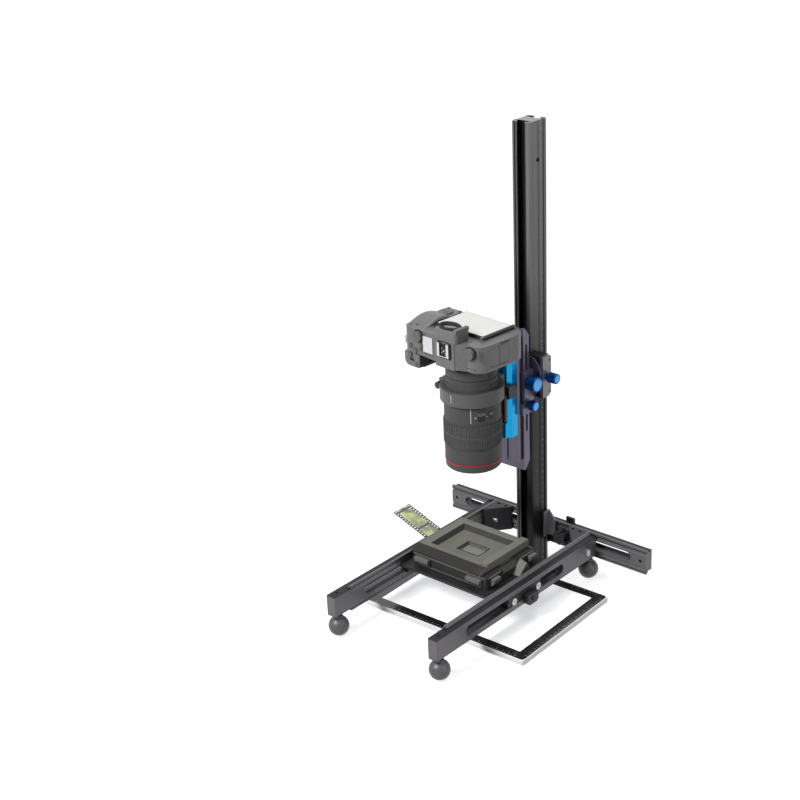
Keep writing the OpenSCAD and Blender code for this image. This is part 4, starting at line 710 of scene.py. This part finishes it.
def foot_studs():
    """Nuts on the studs between the rails and the ball feet."""
    centres = [(s * 90.0, y) for s in (-1, 1) for y in (-190.0, 145.0)]
    x0, y0 = centres[0]
    nut = turned("foot_nut_0", [(6.2, 0), (7.0, 0.6), (7.0, 2.6), (6.2, 3.2), (3.2, 3.2)], (x0, y0, 27.3),
                 sides=6)
    for piece in [nut] + [copied(nut, f"foot_nut_{i}", (x - x0, y - y0, 0))
                          for i, (x, y) in enumerate(centres[1:], 1)]:
        fitted(bevelled(piece, 0.3, 1), "frame", "dark_steel")


def knurled_grip(name, node, body, radius, x0, x1, ribs):
    """A fine straight knurl round a knob: a sleeve whose every other face stands proud, and a cap in a lighter
    blue as painted highlight.
    """
    low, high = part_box(node)
    y, z = (low.y + high.y) / 2 / MM, (low.z + high.z) / 2 / MM
    inner, outer, proud = radius - 0.5, radius - 0.05, radius + 0.12
    sleeve = turned(name, [(inner, x0 + 0.7), (outer, x0 + 0.7), (proud, x0 + 1.1), (proud, x1 - 1.2),
                           (outer, x1 - 0.8), (inner, x1 - 0.8), (inner, x0 + 0.7)], (0, y, z), "X",
                    ribs * 2)
    middle = (x0 + x1) / 2

    def side(c, n):
        return abs(c.x - middle) < 0.5 and abs(n.x) < 0.1 and math.hypot(c.y - y, c.z - z) > radius
    fitted(ribbed(sleeve, side, 0.06, 0.28, "X"), body, "knob_blue")
    # the cap takes the lighter blue, a painted highlight on the end face
    cap = turned(name + "_cap", [(radius - 1.6, x1 - 0.15), (radius - 1.6, x1 + 0.12),
                                 (radius - 2.2, x1 + 0.3), (radius - 4.2, x1 + 0.3),
                                 (radius - 4.4, x1 + 0.1)], (0, y, z), "X", ribs)
    fitted(shaded(cap, 30), body, "knob_face")


def slot_shade_liners():
    """Inner edges of the rails' slots in a dark finish that paints the shade inside the slots; they leave the
    middle free for the screws.
    """
    inner, outer = 82.9, 84.4
    runs = [("left", (-outer, -141.5), (-inner, 73.0)), ("right", (inner, -141.5), (outer, 73.0)),
            ("rear_left", (-143.0, 166.4), (-17.0, 167.9)), ("rear_right", (29.0, 166.4), (155.0, 167.9))]
    for place, (x0, y0), (x1, y1) in runs:
        for level, low, high in (("low", 42.1, 46.2), ("high", 53.6, 57.0)):
            # the dark stage finish stands for the shade inside the slot
            blocks("frame", "stage_metal", 0.3,
                   (f"slot_shade_liner_{place}_{level}", (x0, y0, low), (x1, y1, high)), segments=1)


knurled_grip("focus_knurl", "focus_knob", "pinion", 10.5, 26.9, 39.9, 48)
knurled_grip("carriage_knurl", "carriage_lock_knob", "carriage_lock", 7.0, 41.5, 55.9, 36)
knurled_grip("slider_knurl", "slider_lock_knob", "slider_lock", 7.0, 27.6, 37.4, 36)
column_strips()
foot_studs()
slot_shade_liners()


# ---- Lens ----

all_rounded(lens_barrel=0.35, front_ring=0.35, lens_adapter=0.35)
rounded("lens_collar", 0.8, 3)
all_rounded(collar_screw=0.3, mode_switch=0.2, mount_ring=0, focus_ring=0)


def on_barrel(name, wide, low, high, angle, inner, outer, finish, soften=0.0, parts=10, body="lens"):
    """A plate that hugs the lens: a cube cut into strips along its width and wrapped round the axis."""
    plate = block(name, (-wide / 2, inner, low), (wide / 2, outer, high))
    with Editing(plate) as edit:
        edit.edges(lambda a, b: abs(a.x - b.x) > wide / 2)
        bpy.ops.mesh.subdivide(number_cuts=parts - 1)
    middle = math.radians(angle)
    for vertex in plate.data.vertices:
        turn = middle + vertex.co.x / (outer * MM)
        radius = vertex.co.y
        vertex.co.x, vertex.co.y = radius * math.cos(turn), radius * math.sin(turn)
    with Editing(plate) as edit:
        edit.clean()
    if soften:
        bevelled(plate, soften)
    fitted(plate, body, finish)


def lens_rings():
    """Rings that stand on the lens: the red line, the steps and bands, and the knurled tail."""
    rings = (("red_line", 37.9, 38.98, 224.35, 225.65, "red_mark", 0),
             ("line_above_focus", 38.6, 38.95, 284.6, 285.1, "lens_metal", 0),
             ("barrel_step", 38.5, 39.15, 247.6, 249.4, "lens_metal", 0.3),
             ("adapter_band", 35.2, 35.75, 342.2, 343.4, "lens_metal", 0.2),
             ("adapter_upper_band", 35.2, 35.6, 357.5, 360.9, "lens_metal", 0.3))
    for name, inner, outer, low, high, finish, soften in rings:
        ring = turned(name, hoop(inner, outer, low, high), sides=FINE)
        fitted(bevelled(ring, soften) if soften else shaded(ring, 30), "lens", finish)
    tail = turned("knurled_tail", hoop(35.6, 36.2, 331.4, 338.6), sides=192)
    ribbed(tail, lambda c, n: math.hypot(c.x, c.y) > 36.0 and abs(n.z) < 0.1, 0.12, 0.45)
    fitted(tail, "lens", "lens_rubber")


def lens_front():
    """What is seen from below: the glass, its black seat and the filter thread."""
    glass = turned("front_glass", [(33.2, 219.6), (31.6, 218.2), (26.0, 216.9), (18.0, 216.0), (9.0, 215.6),
                                   (1.0, 215.5)], sides=FINE)
    fitted(shaded(glass, 60), "lens", "lens_glass")
    seat = turned("glass_seat", [(33.4, 222.0), (33.4, 219.0), (34.2, 218.4), (35.4, 216.6), (35.4, 222.0),
                                 (33.4, 222.0)], sides=FINE)
    fitted(shaded(seat, 30), "lens", "black_and_painted_shade")
    for number in range(3):
        height = 215.0 + number * 1.1
        thread = turned(f"filter_thread_{number}", [(36.2, height), (35.7, height + 0.35), (36.2, height + 0.7),
                                                    (36.6, height + 0.35), (36.2, height)],
                        sides=96)
        fitted(shaded(thread, 30), "lens", "lens_metal")


def lens_controls():
    """The panel with its sliding switches, the index lines and the release button of the adapter."""
    on_barrel("switch_panel", 34, 287.5, 309.5, -24, 38.5, 39.3, "lens_metal", 0.3, 14)
    for number, (angle, wide, low, high) in enumerate(((-33, 11.0, 290.5, 305.5), (-12, 6.5, 292.0, 305.0))):
        on_barrel(f"switch_rim_{number}", wide + 1.2, low - 0.6, high + 0.6, angle, 38.9, 39.42, "collar_metal")
        on_barrel(f"switch_well_{number}", wide, low, high, angle, 39.1, 39.48, "black_and_painted_shade")
    on_barrel("focus_switch", 4.6, 297.5, 303.0, -12, 39.2, 40.4, "finger_plastic", 0.35)
    for number, angle in enumerate((-45.5, -21.5)):
        on_barrel(f"switch_dash_{number}", 2.2, 296.5, 297.4, angle, 39.2, 39.36, "white_mark", parts=2)
    on_barrel("panel_line", 0.7, 288.8, 309.0, -54.5, 38.6, 39.02, "white_mark", parts=2)
    on_barrel("collar_index", 0.7, 316.5, 328.0, -91, 43.2, 43.62, "white_mark", parts=2, body="rack")
    on_barrel("adapter_index", 1.6, 362.6, 364.2, -29, 33.2, 33.65, "red_mark", parts=2)
    on_barrel("release_button", 9.5, 348.0, 358.0, -2, 34.9, 36.4, "lens_metal", 0.5)
    on_barrel("release_inlay", 6.0, 350.0, 356.0, -2, 36.2, 36.6, "black_and_painted_shade", 0.2)


lens_rings()
lens_front()
lens_controls()


# ---- Camera ----

def camera_shell():
    """The camera's case: the CAD body with its back and front edges well rounded."""
    shell = copy_of("camera_body", "camera_shell", turn=-CAMERA_TURN)
    mount_r = 34.5
    with Editing(shell) as edit:
        for height, width in ((407.7, 2.6), (366.0, 2.0)):
            edit.round_edges(lambda a, b, h=height: abs(a.z - h) < 0.05 and abs(b.z - h) < 0.05
                             and (a.xy.length > mount_r or b.xy.length > mount_r),
                             width, 3, clamp_overlap=True)
    on_case(bevelled(shell, 0.5))
    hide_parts("camera_body")


def button_well(name, radius):
    """Ring that a button or dial sits in, black as painted shade of the gap round it."""
    well = turned(name + "_well", [(radius + 0.9, 0), (radius + 0.9, 0.2), (radius - 0.3, 0.3)], sides=40)
    return shaded(well, 30)


def button(name, radius, rise, edge, at=(0, 0, 0), sides=40):
    """A low round button with a sloping edge and a hollow top."""
    inner = radius - edge
    return turned(name, [(radius, 0), (radius, rise - edge), (inner, rise), (inner - 0.5, rise),
                         (inner - 0.8, rise - 0.4)], at, sides=sides)


def on_top(name, radius, x, z, rise, base=-37.0):
    """A round control on the camera's top plate, which faces the front of the stand."""
    knob = button(name, radius, rise, 0.5)
    # the well round the button is the case's plastic, given the black finish as painted shade
    for piece, finish, slot in ((shaded(knob, 30), "control_plastic", None),
                                (button_well(name, radius), "black_and_painted_shade", "camera_plastic")):
        on_case(placed(piece, (x, base, z), (math.pi / 2, 0, 0)), finish)


def on_back(name, radius, x, y, z, rise, finish="control_plastic", ribs=0):
    """A round control on the camera's back, which faces up."""
    knob = button(name, radius, rise, 0.4, (x, y, z), max(ribs * 2, 40))
    if ribs:
        ribbed(knob, lambda c, n: abs(n.z) < 0.1 and c.z > z + 0.1, 0.08, 0.3)
    dark(placed(button_well(name, radius), (x, y, z)))
    on_case(shaded(knob, 30), finish)


def dial_well(radius, x, z):
    """Ring round a dial on the top plate, black as painted shade of the gap round the dial."""
    well = turned("dial_well", [(radius, 0), (radius + 0.2, 0.35), (radius - 1.1, 0.4)], sides=64)
    dark(shaded(placed(well, (x, -36.95, z), (math.pi / 2, 0, 0)), 30))


def body_seams():
    """Parting lines of the camera's covers."""
    for place, low, high in (("top", (-52.0, -37.15, 371.6), (-26.5, -36.9, 372.1)),
                             ("shoulder", (18.6, -37.15, 371.6), (44.0, -36.9, 372.1)),
                             ("hump_left", (-26.3, -37.2, 372.0), (-25.8, -36.9, 402.0)),
                             ("hump_right", (20.3, -37.2, 372.0), (20.8, -36.9, 402.0)),
                             ("back", (36.2, -8.0, 403.3), (36.7, 47.0, 403.75)),
                             ("back_front", (-54.0, -12.3, 403.3), (36.0, -11.8, 403.75))):
        dark(block("seam_" + place, low, high))


def camera_controls():
    """Dials, buttons and small marks on the camera's top and back."""
    on_top("shutter_release", 3.6, -78.4, 363.4, 1.8, -36.8)
    on_top("top_button_a", 2.5, -76.5, 377.8, 1.1)
    on_top("top_button_b", 1.9, -57.5, 376.5, 0.9)
    on_top("grip_button", 2.2, -66.5, 352.2, 1.0, -36.8)
    dial_well(9.2, 35.0, 393.5)
    dial_well(9.4, -61.0, 394.5)
    on_back("control_dial", 9.5, -72.5, 27.0, 407.5, 2.2, ribs=44)
    on_back("dial_button", 3.6, -72.5, 27.0, 408.6, 1.6, "camera_plastic")
    on_back("joystick", 2.6, -50.5, -14.0, 403.3, 3.0, "grip_rubber")
    on_back("back_button_a", 3.2, -74.5, -24.0, 403.3, 2.4, "grip_rubber")
    on_back("back_button_b", 2.4, -83.5, -29.0, 403.3, 1.6)
    on_back("back_button_c", 2.2, -82.0, 42.0, 407.3, 1.2)
    on_back("back_button_d", 2.2, -60.5, 41.5, 407.3, 1.2)
    on_back("menu_button", 3.0, 22.5, -24.5, 403.2, 1.3)
    dark(bevelled(block("front_wheel", (-79.8, -37.5, 355.6), (-71.2, -36.6, 358.9)), 0.5))
    dark(bevelled(block("card_slot_line", (-86.6, -37.25, 379), (-84.9, -36.8, 390)), 0.15, 1))


def shoe_contacts():
    """Black bed in the shoe's floor with its contacts, and the dark surround on the hump."""
    bed = block("shoe_bed", (-11.0, -48.3, 384.0), (5.0, -47.7, 401.4))
    on_case(bevelled(bed, 0.15, 1), "black_and_painted_shade")
    surround = block("shoe_surround", (-16.0, -47.5, 380.0), (10.0, -46.7, 403.4))
    dark(bevelled(edges_rounded(surround, lambda a, b: abs(a.y - b.y) > 0.3, 3, 4), 0.2, 1))
    for number, (x, z, radius, tip) in enumerate(((-3.0, 391.0, 1.3, 1.1), (-6.4, 388.0, 0.7, 0.55),
                                                  (0.4, 388.0, 0.7, 0.55), (-6.4, 394.0, 0.7, 0.55),
                                                  (0.4, 394.0, 0.7, 0.55))):
        on_case(turned(f"shoe_contact_{number}", [(radius, 0), (tip, 0.25)], (x, -48.5, z), "Y", 20), "chrome")


def thumb_rest():
    """Arched swelling on the back, over the grip."""
    middle, half, foot, rise = 2.0, 37.0, 403.2, 8.6
    swell = block("thumb_rest", (-91.2, middle - half, 401.0), (-56.8, middle + half, foot + 1))
    with Editing(swell) as edit:
        edit.edges(lambda a, b: abs(a.y - b.y) > 5)
        bpy.ops.mesh.subdivide(number_cuts=17)
    corner_r, corner_y = 11.0, -26.0
    for vertex in swell.data.vertices:
        x, y, z = vertex.co / MM
        if x < -80 and y < corner_y:
            vertex.co.x += (corner_r - math.sqrt(corner_r ** 2 - (corner_y - y) ** 2)) * MM
        if z > foot:
            vertex.co.z = (foot + rise * math.cos(math.pi / 2 * (y - middle) / half) ** 1.5) * MM
    with Editing(swell) as edit:
        edit.round_edges(lambda a, b: a.z > foot and b.z > foot and abs(a.x - b.x) < 1
                         and abs(a.x + 74) > 10, 4.0, 5)
        edit.clean()
    on_case(shaded(swell, 50))


def hump_flank():
    """Slanted right flank of the viewfinder hump."""
    flank = block("hump_flank", (15.0, -45.4, 367.2), (28.0, -36.4, 402.8))
    for vertex in flank.data.vertices:
        if vertex.co.x > 20 * MM and vertex.co.y < -40 * MM:
            vertex.co.y = -37.3 * MM
    on_case(bevelled(flank, 1.6, 3))


def top_display():
    """Pale little display in a thin dark rim."""
    glass = block("display_panel", (-52.2, -38.1, 375.2), (-34.6, -36.8, 397.2))
    with Editing(glass) as edit:
        edit.inset(lambda c, n: n.y < -0.9, 0.9, 0)
        bpy.ops.mesh.inset(thickness=0.15 * MM, depth=-0.25 * MM)
    on_case(bevelled(glass, 0.25), "display_gloss")
    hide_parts("top_display")


def grip_cap():
    """Plastic nose of the grip, which carries the top plate on over the rubber."""
    cap = block("grip_cap", (-90.8, -36.9, 346.6), (-61.5, -17.0, 366.6))

    def lower(a, b):
        return abs(a.y - b.y) > 5 and max(a.z, b.z) < 348
    with Editing(cap) as edit:
        edit.round_edges(lambda a, b: lower(a, b) and max(a.x, b.x) < -90, 9.5, 6)
        edit.round_edges(lambda a, b: lower(a, b) and min(a.x, b.x) > -62, 3.5, 3)
        edit.round_edges(lambda a, b: max(a.y, b.y) < -36 and min(a.z, b.z) < 366, 2.0, 3)
    on_case(shaded(cap, 30))


def viewfinder():
    """Housing behind the hump in the case's plastic, with an oval rubber eyecup round dark glass."""
    housing = block("viewfinder_housing", (-23, -46.2, 402.9), (17, -19, 418.3))
    with Editing(housing) as edit:
        edit.round_edges(lambda a, b: abs(a.z - b.z) > 5, 4.5, 4)
        edit.inset(lambda c, n: n.z > 0.9, 1.6, 0)
        bpy.ops.transform.translate(value=(0, 0, 1.2 * MM))
    on_case(bevelled(housing, 0.4))
    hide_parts("eyecup")
    oval = (1.22, 0.82, 1)
    cup = turned("eyecup_rubber", [(10.4, 0), (13.0, 0), (14.4, 2.2), (14.2, 3.6), (13.2, 4.4), (11.6, 4.0),
                                   (10.4, 1.8), (10.4, 0)], sides=64)
    on_case(shaded(placed(cup, (-5.5, -32.2, 418.4), scale=oval), 60), "grip_rubber")
    eyepiece = turned("eyepiece_glass", [(10.6, 0), (10.6, 0.9), (10.0, 1.2), (1.0, 1.5)])
    on_case(shaded(placed(eyepiece, (-5.5, -32.2, 418.6), scale=oval), 50), "lens_glass")
    wall = block("viewfinder_wall", (11.6, -45.0, 417.0), (17.0, -19.4, 423.0))
    on_case(bevelled(wall, 1.4, 3))


def lit_screen():
    """The swinging screen: dark case, lit picture area with a thin rim."""
    rounded("screen_panel", 0.5)
    picture = block("screen_picture", (-52.2, -8.8, 408.0), (30.6, 46.1, 408.42))
    with Editing(picture) as edit:
        edit.round_edges(lambda a, b: abs(a.z - b.z) > 0.2, 1.5, 3)
        edit.inset(lambda c, n: n.z > 0.9, 0.3, 0.05)
    fitted(on_camera(picture), "screen", "lit_screen")


def strap_lug(name, x, y, z, turn):
    """Steel strap lug: an upright bar with a slot through it."""
    bar = block(name, (-1.1, -3.2, -6.5), (1.1, 3.2, 6.5))
    edges_rounded(bar, lambda a, b: abs(a.x - b.x) > 1, 2.4, 4)
    bevelled(cut(bar, block(name + "_gap", (-2, -1.0, -3.8), (2, 1.0, 3.8))), 0.25, 1)
    on_case(placed(bar, (x, y, z), (0, 0, math.radians(turn))), "dark_steel")


def port_side():
    """Finger notch above the port door, and the seam across the door."""
    dark(bevelled(block("door_notch", (51.7, 1.0, 399.6), (52.25, 19.0, 401.4)), 0.2, 1))
    seam = block("door_seam", (51.8, -0.25, 372.6), (52.2, 0.25, 397.6))
    fitted(on_camera(seam), "door", "black_and_painted_shade")


camera_shell()
rounded("camera_grip", 1.6, 3)
all_rounded(hot_shoe=0.25, mode_dial=0.6, power_dial=0.7, shutter_button=0.6, record_button=0.4,
            port_door=0.1)
camera_controls()
body_seams()
shoe_contacts()
thumb_rest()
hump_flank()
top_display()
grip_cap()
viewfinder()
lit_screen()
strap_lug("strap_lug_right", 48.8, -33.6, 391.5, 45)
strap_lug("strap_lug_left", -90.5, -20.0, 392.0, 0)
port_side()


# ---- Film holder ----

all_rounded(film_tray=0.5, grip_pads=0.8, gate_frame=0.5, gate_plate=0.25)

TRAY_FRONT, GATE_TOP = -54.4, 84.0


def gate_ribs():
    """Cross ribs on the sloping outer half of the frame's front bar."""
    rib = block("gate_rib", (-69.6, -53.6, 79.0), (-68.4, -39.2, 84.0))
    for vertex in rib.data.vertices:
        if vertex.co.z > 83 * MM:
            share = (vertex.co.y / MM - TRAY_FRONT) / 16.0
            vertex.co.z = (GATE_TOP - 5.0 + 5.0 * share + 0.35) * MM
    rib = repeated(rib, "gate_ribs", [(3.0 * i, 0, 0) for i in range(1, 36)])
    fitted(bevelled(rib, 0.12, 1), "gate", "tray_plastic")


def gate_strips():
    """Long raised strips that edge the frame's bars."""
    blocks("gate", "gate_plastic", 0.3,
           ("gate_front_strip", (-71.5, -38.2, 83.8), (37.6, -36.6, 84.5)),
           ("gate_front_lip", (-71.5, -31.9, 83.8), (37.6, -30.9, 84.4)),
           ("gate_back_strip", (-71.5, 53.6, 83.8), (37.6, 55.4, 84.5)),
           ("gate_left_strip", (-71.4, -30.0, 83.8), (-70.0, 53.0, 84.4)))


def pad_ribs(name, x, y, turn):
    """Small ribs on the lower half of a finger pad, modelled at the front and turned into place."""
    wide = 11.0 if turn == 90 else 20.0
    pitch = 2.4
    rib = block(name + "_rib", (-wide / 2, -7.35, 62.9), (-wide / 2 + 1.2, -2.0, 67.4))
    for vertex in rib.data.vertices:
        if vertex.co.z < 63 * MM and vertex.co.y < -5 * MM:
            vertex.co.y = -3.2 * MM
    rib = repeated(rib, name, [(pitch * i, 0, 0) for i in range(1, int(wide // pitch) + 1)])
    placed(bevelled(rib, 0.25, 1), (x, y, 0), (0, 0, math.radians(turn)))
    fitted(rib, "stage", "finger_plastic")


def foot_cheek():
    """Pale cheek between the lens collar and the clamp."""
    cheek = block("foot_cheek", (9.0, 41.6, 297.5), (15.2, 52.0, 331.5))
    edges_rounded(cheek, lambda a, b: abs(a.x - b.x) > 3 and min(a.y, b.y) > 50 and min(a.z, b.z) > 330,
                  5, 4)
    fitted(bevelled(cheek, 0.6), "rack", "collar_metal")


def film_exit():
    """Sloping guide beside the tray, where the film comes out on the right."""
    guide = block("exit_guide", (62.0, 2.0, 58.6), (74.0, 31.0, 76.2))
    for vertex in guide.data.vertices:
        x, y, z = vertex.co / MM
        if z > 70:
            vertex.co.y = (19.0 if y < 10 else 21.5) * MM
            vertex.co.z = (76.2 if x < 70 else 72.0) * MM
        elif y < 10 and x > 70:
            vertex.co.y = 3.2 * MM
    fitted(bevelled(guide, 0.5), "stage", "finger_plastic")


def tray_rims():
    """Pale lips along the tray's walls."""
    blocks("stage", "finger_plastic", 0.3,
           ("tray_rim_front", (-69.0, -55.1, 74.6), (59.0, -54.0, 76.1)),
           ("tray_rim_right_near", (62.1, -50.0, 74.6), (63.2, -24.0, 76.1)),
           ("tray_rim_right_far", (62.1, 21.0, 74.6), (63.2, 50.0, 76.1)),
           ("tray_rim_sill", (-58.0, -55.0, 60.0), (52.0, -54.1, 61.2)))


def window_rim():
    """Fine raised rim round the picture window of the gate plate, and the plate's raised border."""
    rim = block("window_rim", (-24.3, -13.6, 78.1), (14.8, 13.6, 78.75))
    cut(rim, block("window_space", (-23.3, -12.6, 77), (13.8, 12.6, 80)))
    fitted(bevelled(rim, 0.15, 1), "gate", "black_and_painted_shade")
    step = block("plate_step", (-50.2, -22.2, 78.1), (35.2, 36.2, 78.6))
    cut(step, block("plate_space", (-44.0, -18.5, 77), (30.0, 30.5, 80)))
    fitted(bevelled(step, 0.2, 1), "gate", "mask_plastic")


def film():
    """Film strip with its two rows of perforations, flat in the holder and rising at its free end."""
    bend_x, slope, run, foot = -72.0, math.radians(20), 8.0, 75.15
    start, end = bend_x + 4, bend_x - 72.0
    strip = block("film", (end, -16.0, foot), (52.0, 19.0, 75.5))
    hole = block("film_hole", (end + 1.4, -14.0, 74.5), (end + 3.4, -11.2, 76.5))
    edges_rounded(hole, lambda a, b: abs(a.z - b.z) > 1, 0.5, 2)
    row = repeated(hole, "film_holes", [(4.75 * i, 0, 0) for i in range(1, 41)])
    cut(strip, row, copied(row, "film_holes_far", (0, 28.2, 0)))
    with Editing(strip) as edit:
        edit.everything()
        bpy.ops.mesh.quads_convert_to_tris()
        for step in range(5):
            edit.everything()
            bpy.ops.mesh.bisect(plane_co=((start - 2 * step) * MM, 0, 0), plane_no=(1, 0, 0))
    curve = run / slope
    for vertex in strip.data.vertices:
        past = start - vertex.co.x / MM
        if past > 0:
            angle = slope * min(past / run, 1)
            straight = max(past - run, 0)
            rise = curve * (1 - math.cos(angle)) + straight * math.sin(angle)
            offset = vertex.co.z / MM - foot
            vertex.co.x = (start - curve * math.sin(angle) - straight * math.cos(angle)
                           + offset * math.sin(angle)) * MM
            vertex.co.z = (foot + rise + offset * math.cos(angle)) * MM
    fitted(shaded(strip, 30), "film", "film_base")
    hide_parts("film_strip")


gate_ribs()
gate_strips()
for number, (x, y, turn) in enumerate(((-50.5, TRAY_FRONT, 0), (41.5, TRAY_FRONT, 0), (-50.5, 54.4, 180),
                                       (41.5, 54.4, 180), (62.5, -39.0, 90), (62.5, 43.0, 90))):
    pad_ribs(f"finger_ribs_{number}", x, y, turn)
window_rim()
foot_cheek()
film_exit()
tray_rims()
film()


# ---- Light pad ----

def on_pad(piece):
    """Turns a piece made square to the light pad to where the pad lies."""
    return placed(piece, (PAD_X, PAD_Y, 0), (0, 0, PAD_TURN))


def pad_surround():
    """Black printed border round the lit panel."""
    margin = 1.3
    border = block("pad_border", (margin - PAD_W / 2, margin - PAD_D / 2, 7.7),
                   (PAD_W / 2 - margin, PAD_D / 2 - margin, 8.25))
    edges_rounded(border, lambda a, b: abs(a.z - b.z) > 0.3, 5, 5)
    inner = PAD_BORDER - 0.2
    cut(border, block("pad_opening", (inner - PAD_W / 2, inner - PAD_D / 2, 7),
                      (PAD_W / 2 - inner, PAD_D / 2 - inner, 9)))
    fitted(on_pad(bevelled(border, 0.12, 1)), "light_pad", "pad_border")


rounded("pad_body", 1.2, 3)
pad_surround()


# ---- Studio ----

def shown_directly(nodes):
    """1 for rays that show the background itself: from the camera, by reflection or through glass."""
    rays = nodes.node("ShaderNodeLightPath", {}).socket.node.outputs
    seen, mirrored, through = (Signal(nodes, rays[f"Is {kind} Ray"])
                               for kind in ("Camera", "Glossy", "Transmission"))
    return seen.either(mirrored).either(through)


def studio_world():
    """Soft light from all round, and plain white where the world itself is seen."""
    world = bpy.data.worlds.new("studio")
    nodes = Nodes(world, empty=True)
    soft = nodes.node("ShaderNodeBackground", {}, Color=(0.97, 0.98, 1.0, 1), Strength=0.12)
    white = nodes.node("ShaderNodeBackground", {}, Color=(1, 1, 1, 1), Strength=1.0)
    nodes.node("ShaderNodeOutputWorld", {},
               nodes.node("ShaderNodeMixShader", {}, shown_directly(nodes), soft, white))
    bpy.context.scene.world = world


def studio_floor():
    """White paper: it keeps the object's shadow and fades to plain white away from it."""
    floor = placed(primitive("studio_floor", bpy.ops.mesh.primitive_plane_add, size=14), (0, 0, -0.2))
    paper = bpy.data.materials.new("studio_paper")
    nodes = Nodes(paper, empty=True)
    place = nodes.node("ShaderNodeTexCoord", {}, out="Object")
    away = nodes.node("ShaderNodeVectorMath", {"operation": "LENGTH"}, place, out="Value")
    fade = nodes.node("ShaderNodeMapRange", {}, away, From_Min=0.5, From_Max=3.5, To_Min=0.8, To_Max=1.0)
    matt = nodes.node("ShaderNodeBsdfDiffuse", {}, Color=(0.45, 0.45, 0.45, 1))
    lift = nodes.node("ShaderNodeEmission", {}, Color=fade)
    both = nodes.node("ShaderNodeAddShader", {}, matt, lift)
    nodes.node("ShaderNodeOutputMaterial", {},
               nodes.node("ShaderNodeMixShader", {}, shown_directly(nodes), matt, both))
    floor.data.materials.append(paper)


def soft_lamp(name, place, aim, size, power):
    """A rectangular lamp; its place, aim and size are in metres."""
    lamp = bpy.data.lights.new(name, "AREA")
    lamp.shape = "RECTANGLE"
    lamp.size, lamp.size_y = size
    lamp.energy = power
    holder = linked(name, lamp)
    holder.location = place
    holder.rotation_euler = (Vector(aim) - holder.location).to_track_quat("-Z", "Y").to_euler()


def studio_camera():
    """The photograph's own viewpoint: heading, height and roll worked out from its straight lines."""
    heading, height, roll = math.radians(42.225), math.radians(23.12), math.radians(-2.52)
    back = Vector((math.sin(heading) * math.cos(height), -math.cos(heading) * math.cos(height),
                   math.sin(height)))
    level = Vector((math.cos(heading), math.sin(heading), 0))
    steep = back.cross(level)
    right = level * math.cos(roll) + steep * math.sin(roll)
    up = steep * math.cos(roll) - level * math.sin(roll)
    focal_px, picture_px = 1569.36, 800
    lens = bpy.data.cameras.new("camera")
    lens.sensor_width = 36
    lens.lens = focal_px / picture_px * lens.sensor_width
    camera = linked("camera", lens)
    turn = Matrix((right, up, back)).transposed().to_4x4()
    camera.matrix_world = Matrix.Translation((1.23234, -1.5025, 1.140)) @ turn
    bpy.context.scene.camera = camera


studio_world()
studio_floor()
studio_camera()
soft_lamp("key", (-0.45, -1.8, 1.75), (0, 0, 0.25), (0.7, 0.7), 56)
soft_lamp("side", (1.9, 0.3, 0.8), (0, 0, 0.3), (0.4, 1.4), 7)
soft_lamp("top", (0.1, 0.3, 2.2), (0, 0, 0.2), (1.2, 0.9), 16)
bpy.context.scene.view_settings.view_transform = "Standard"
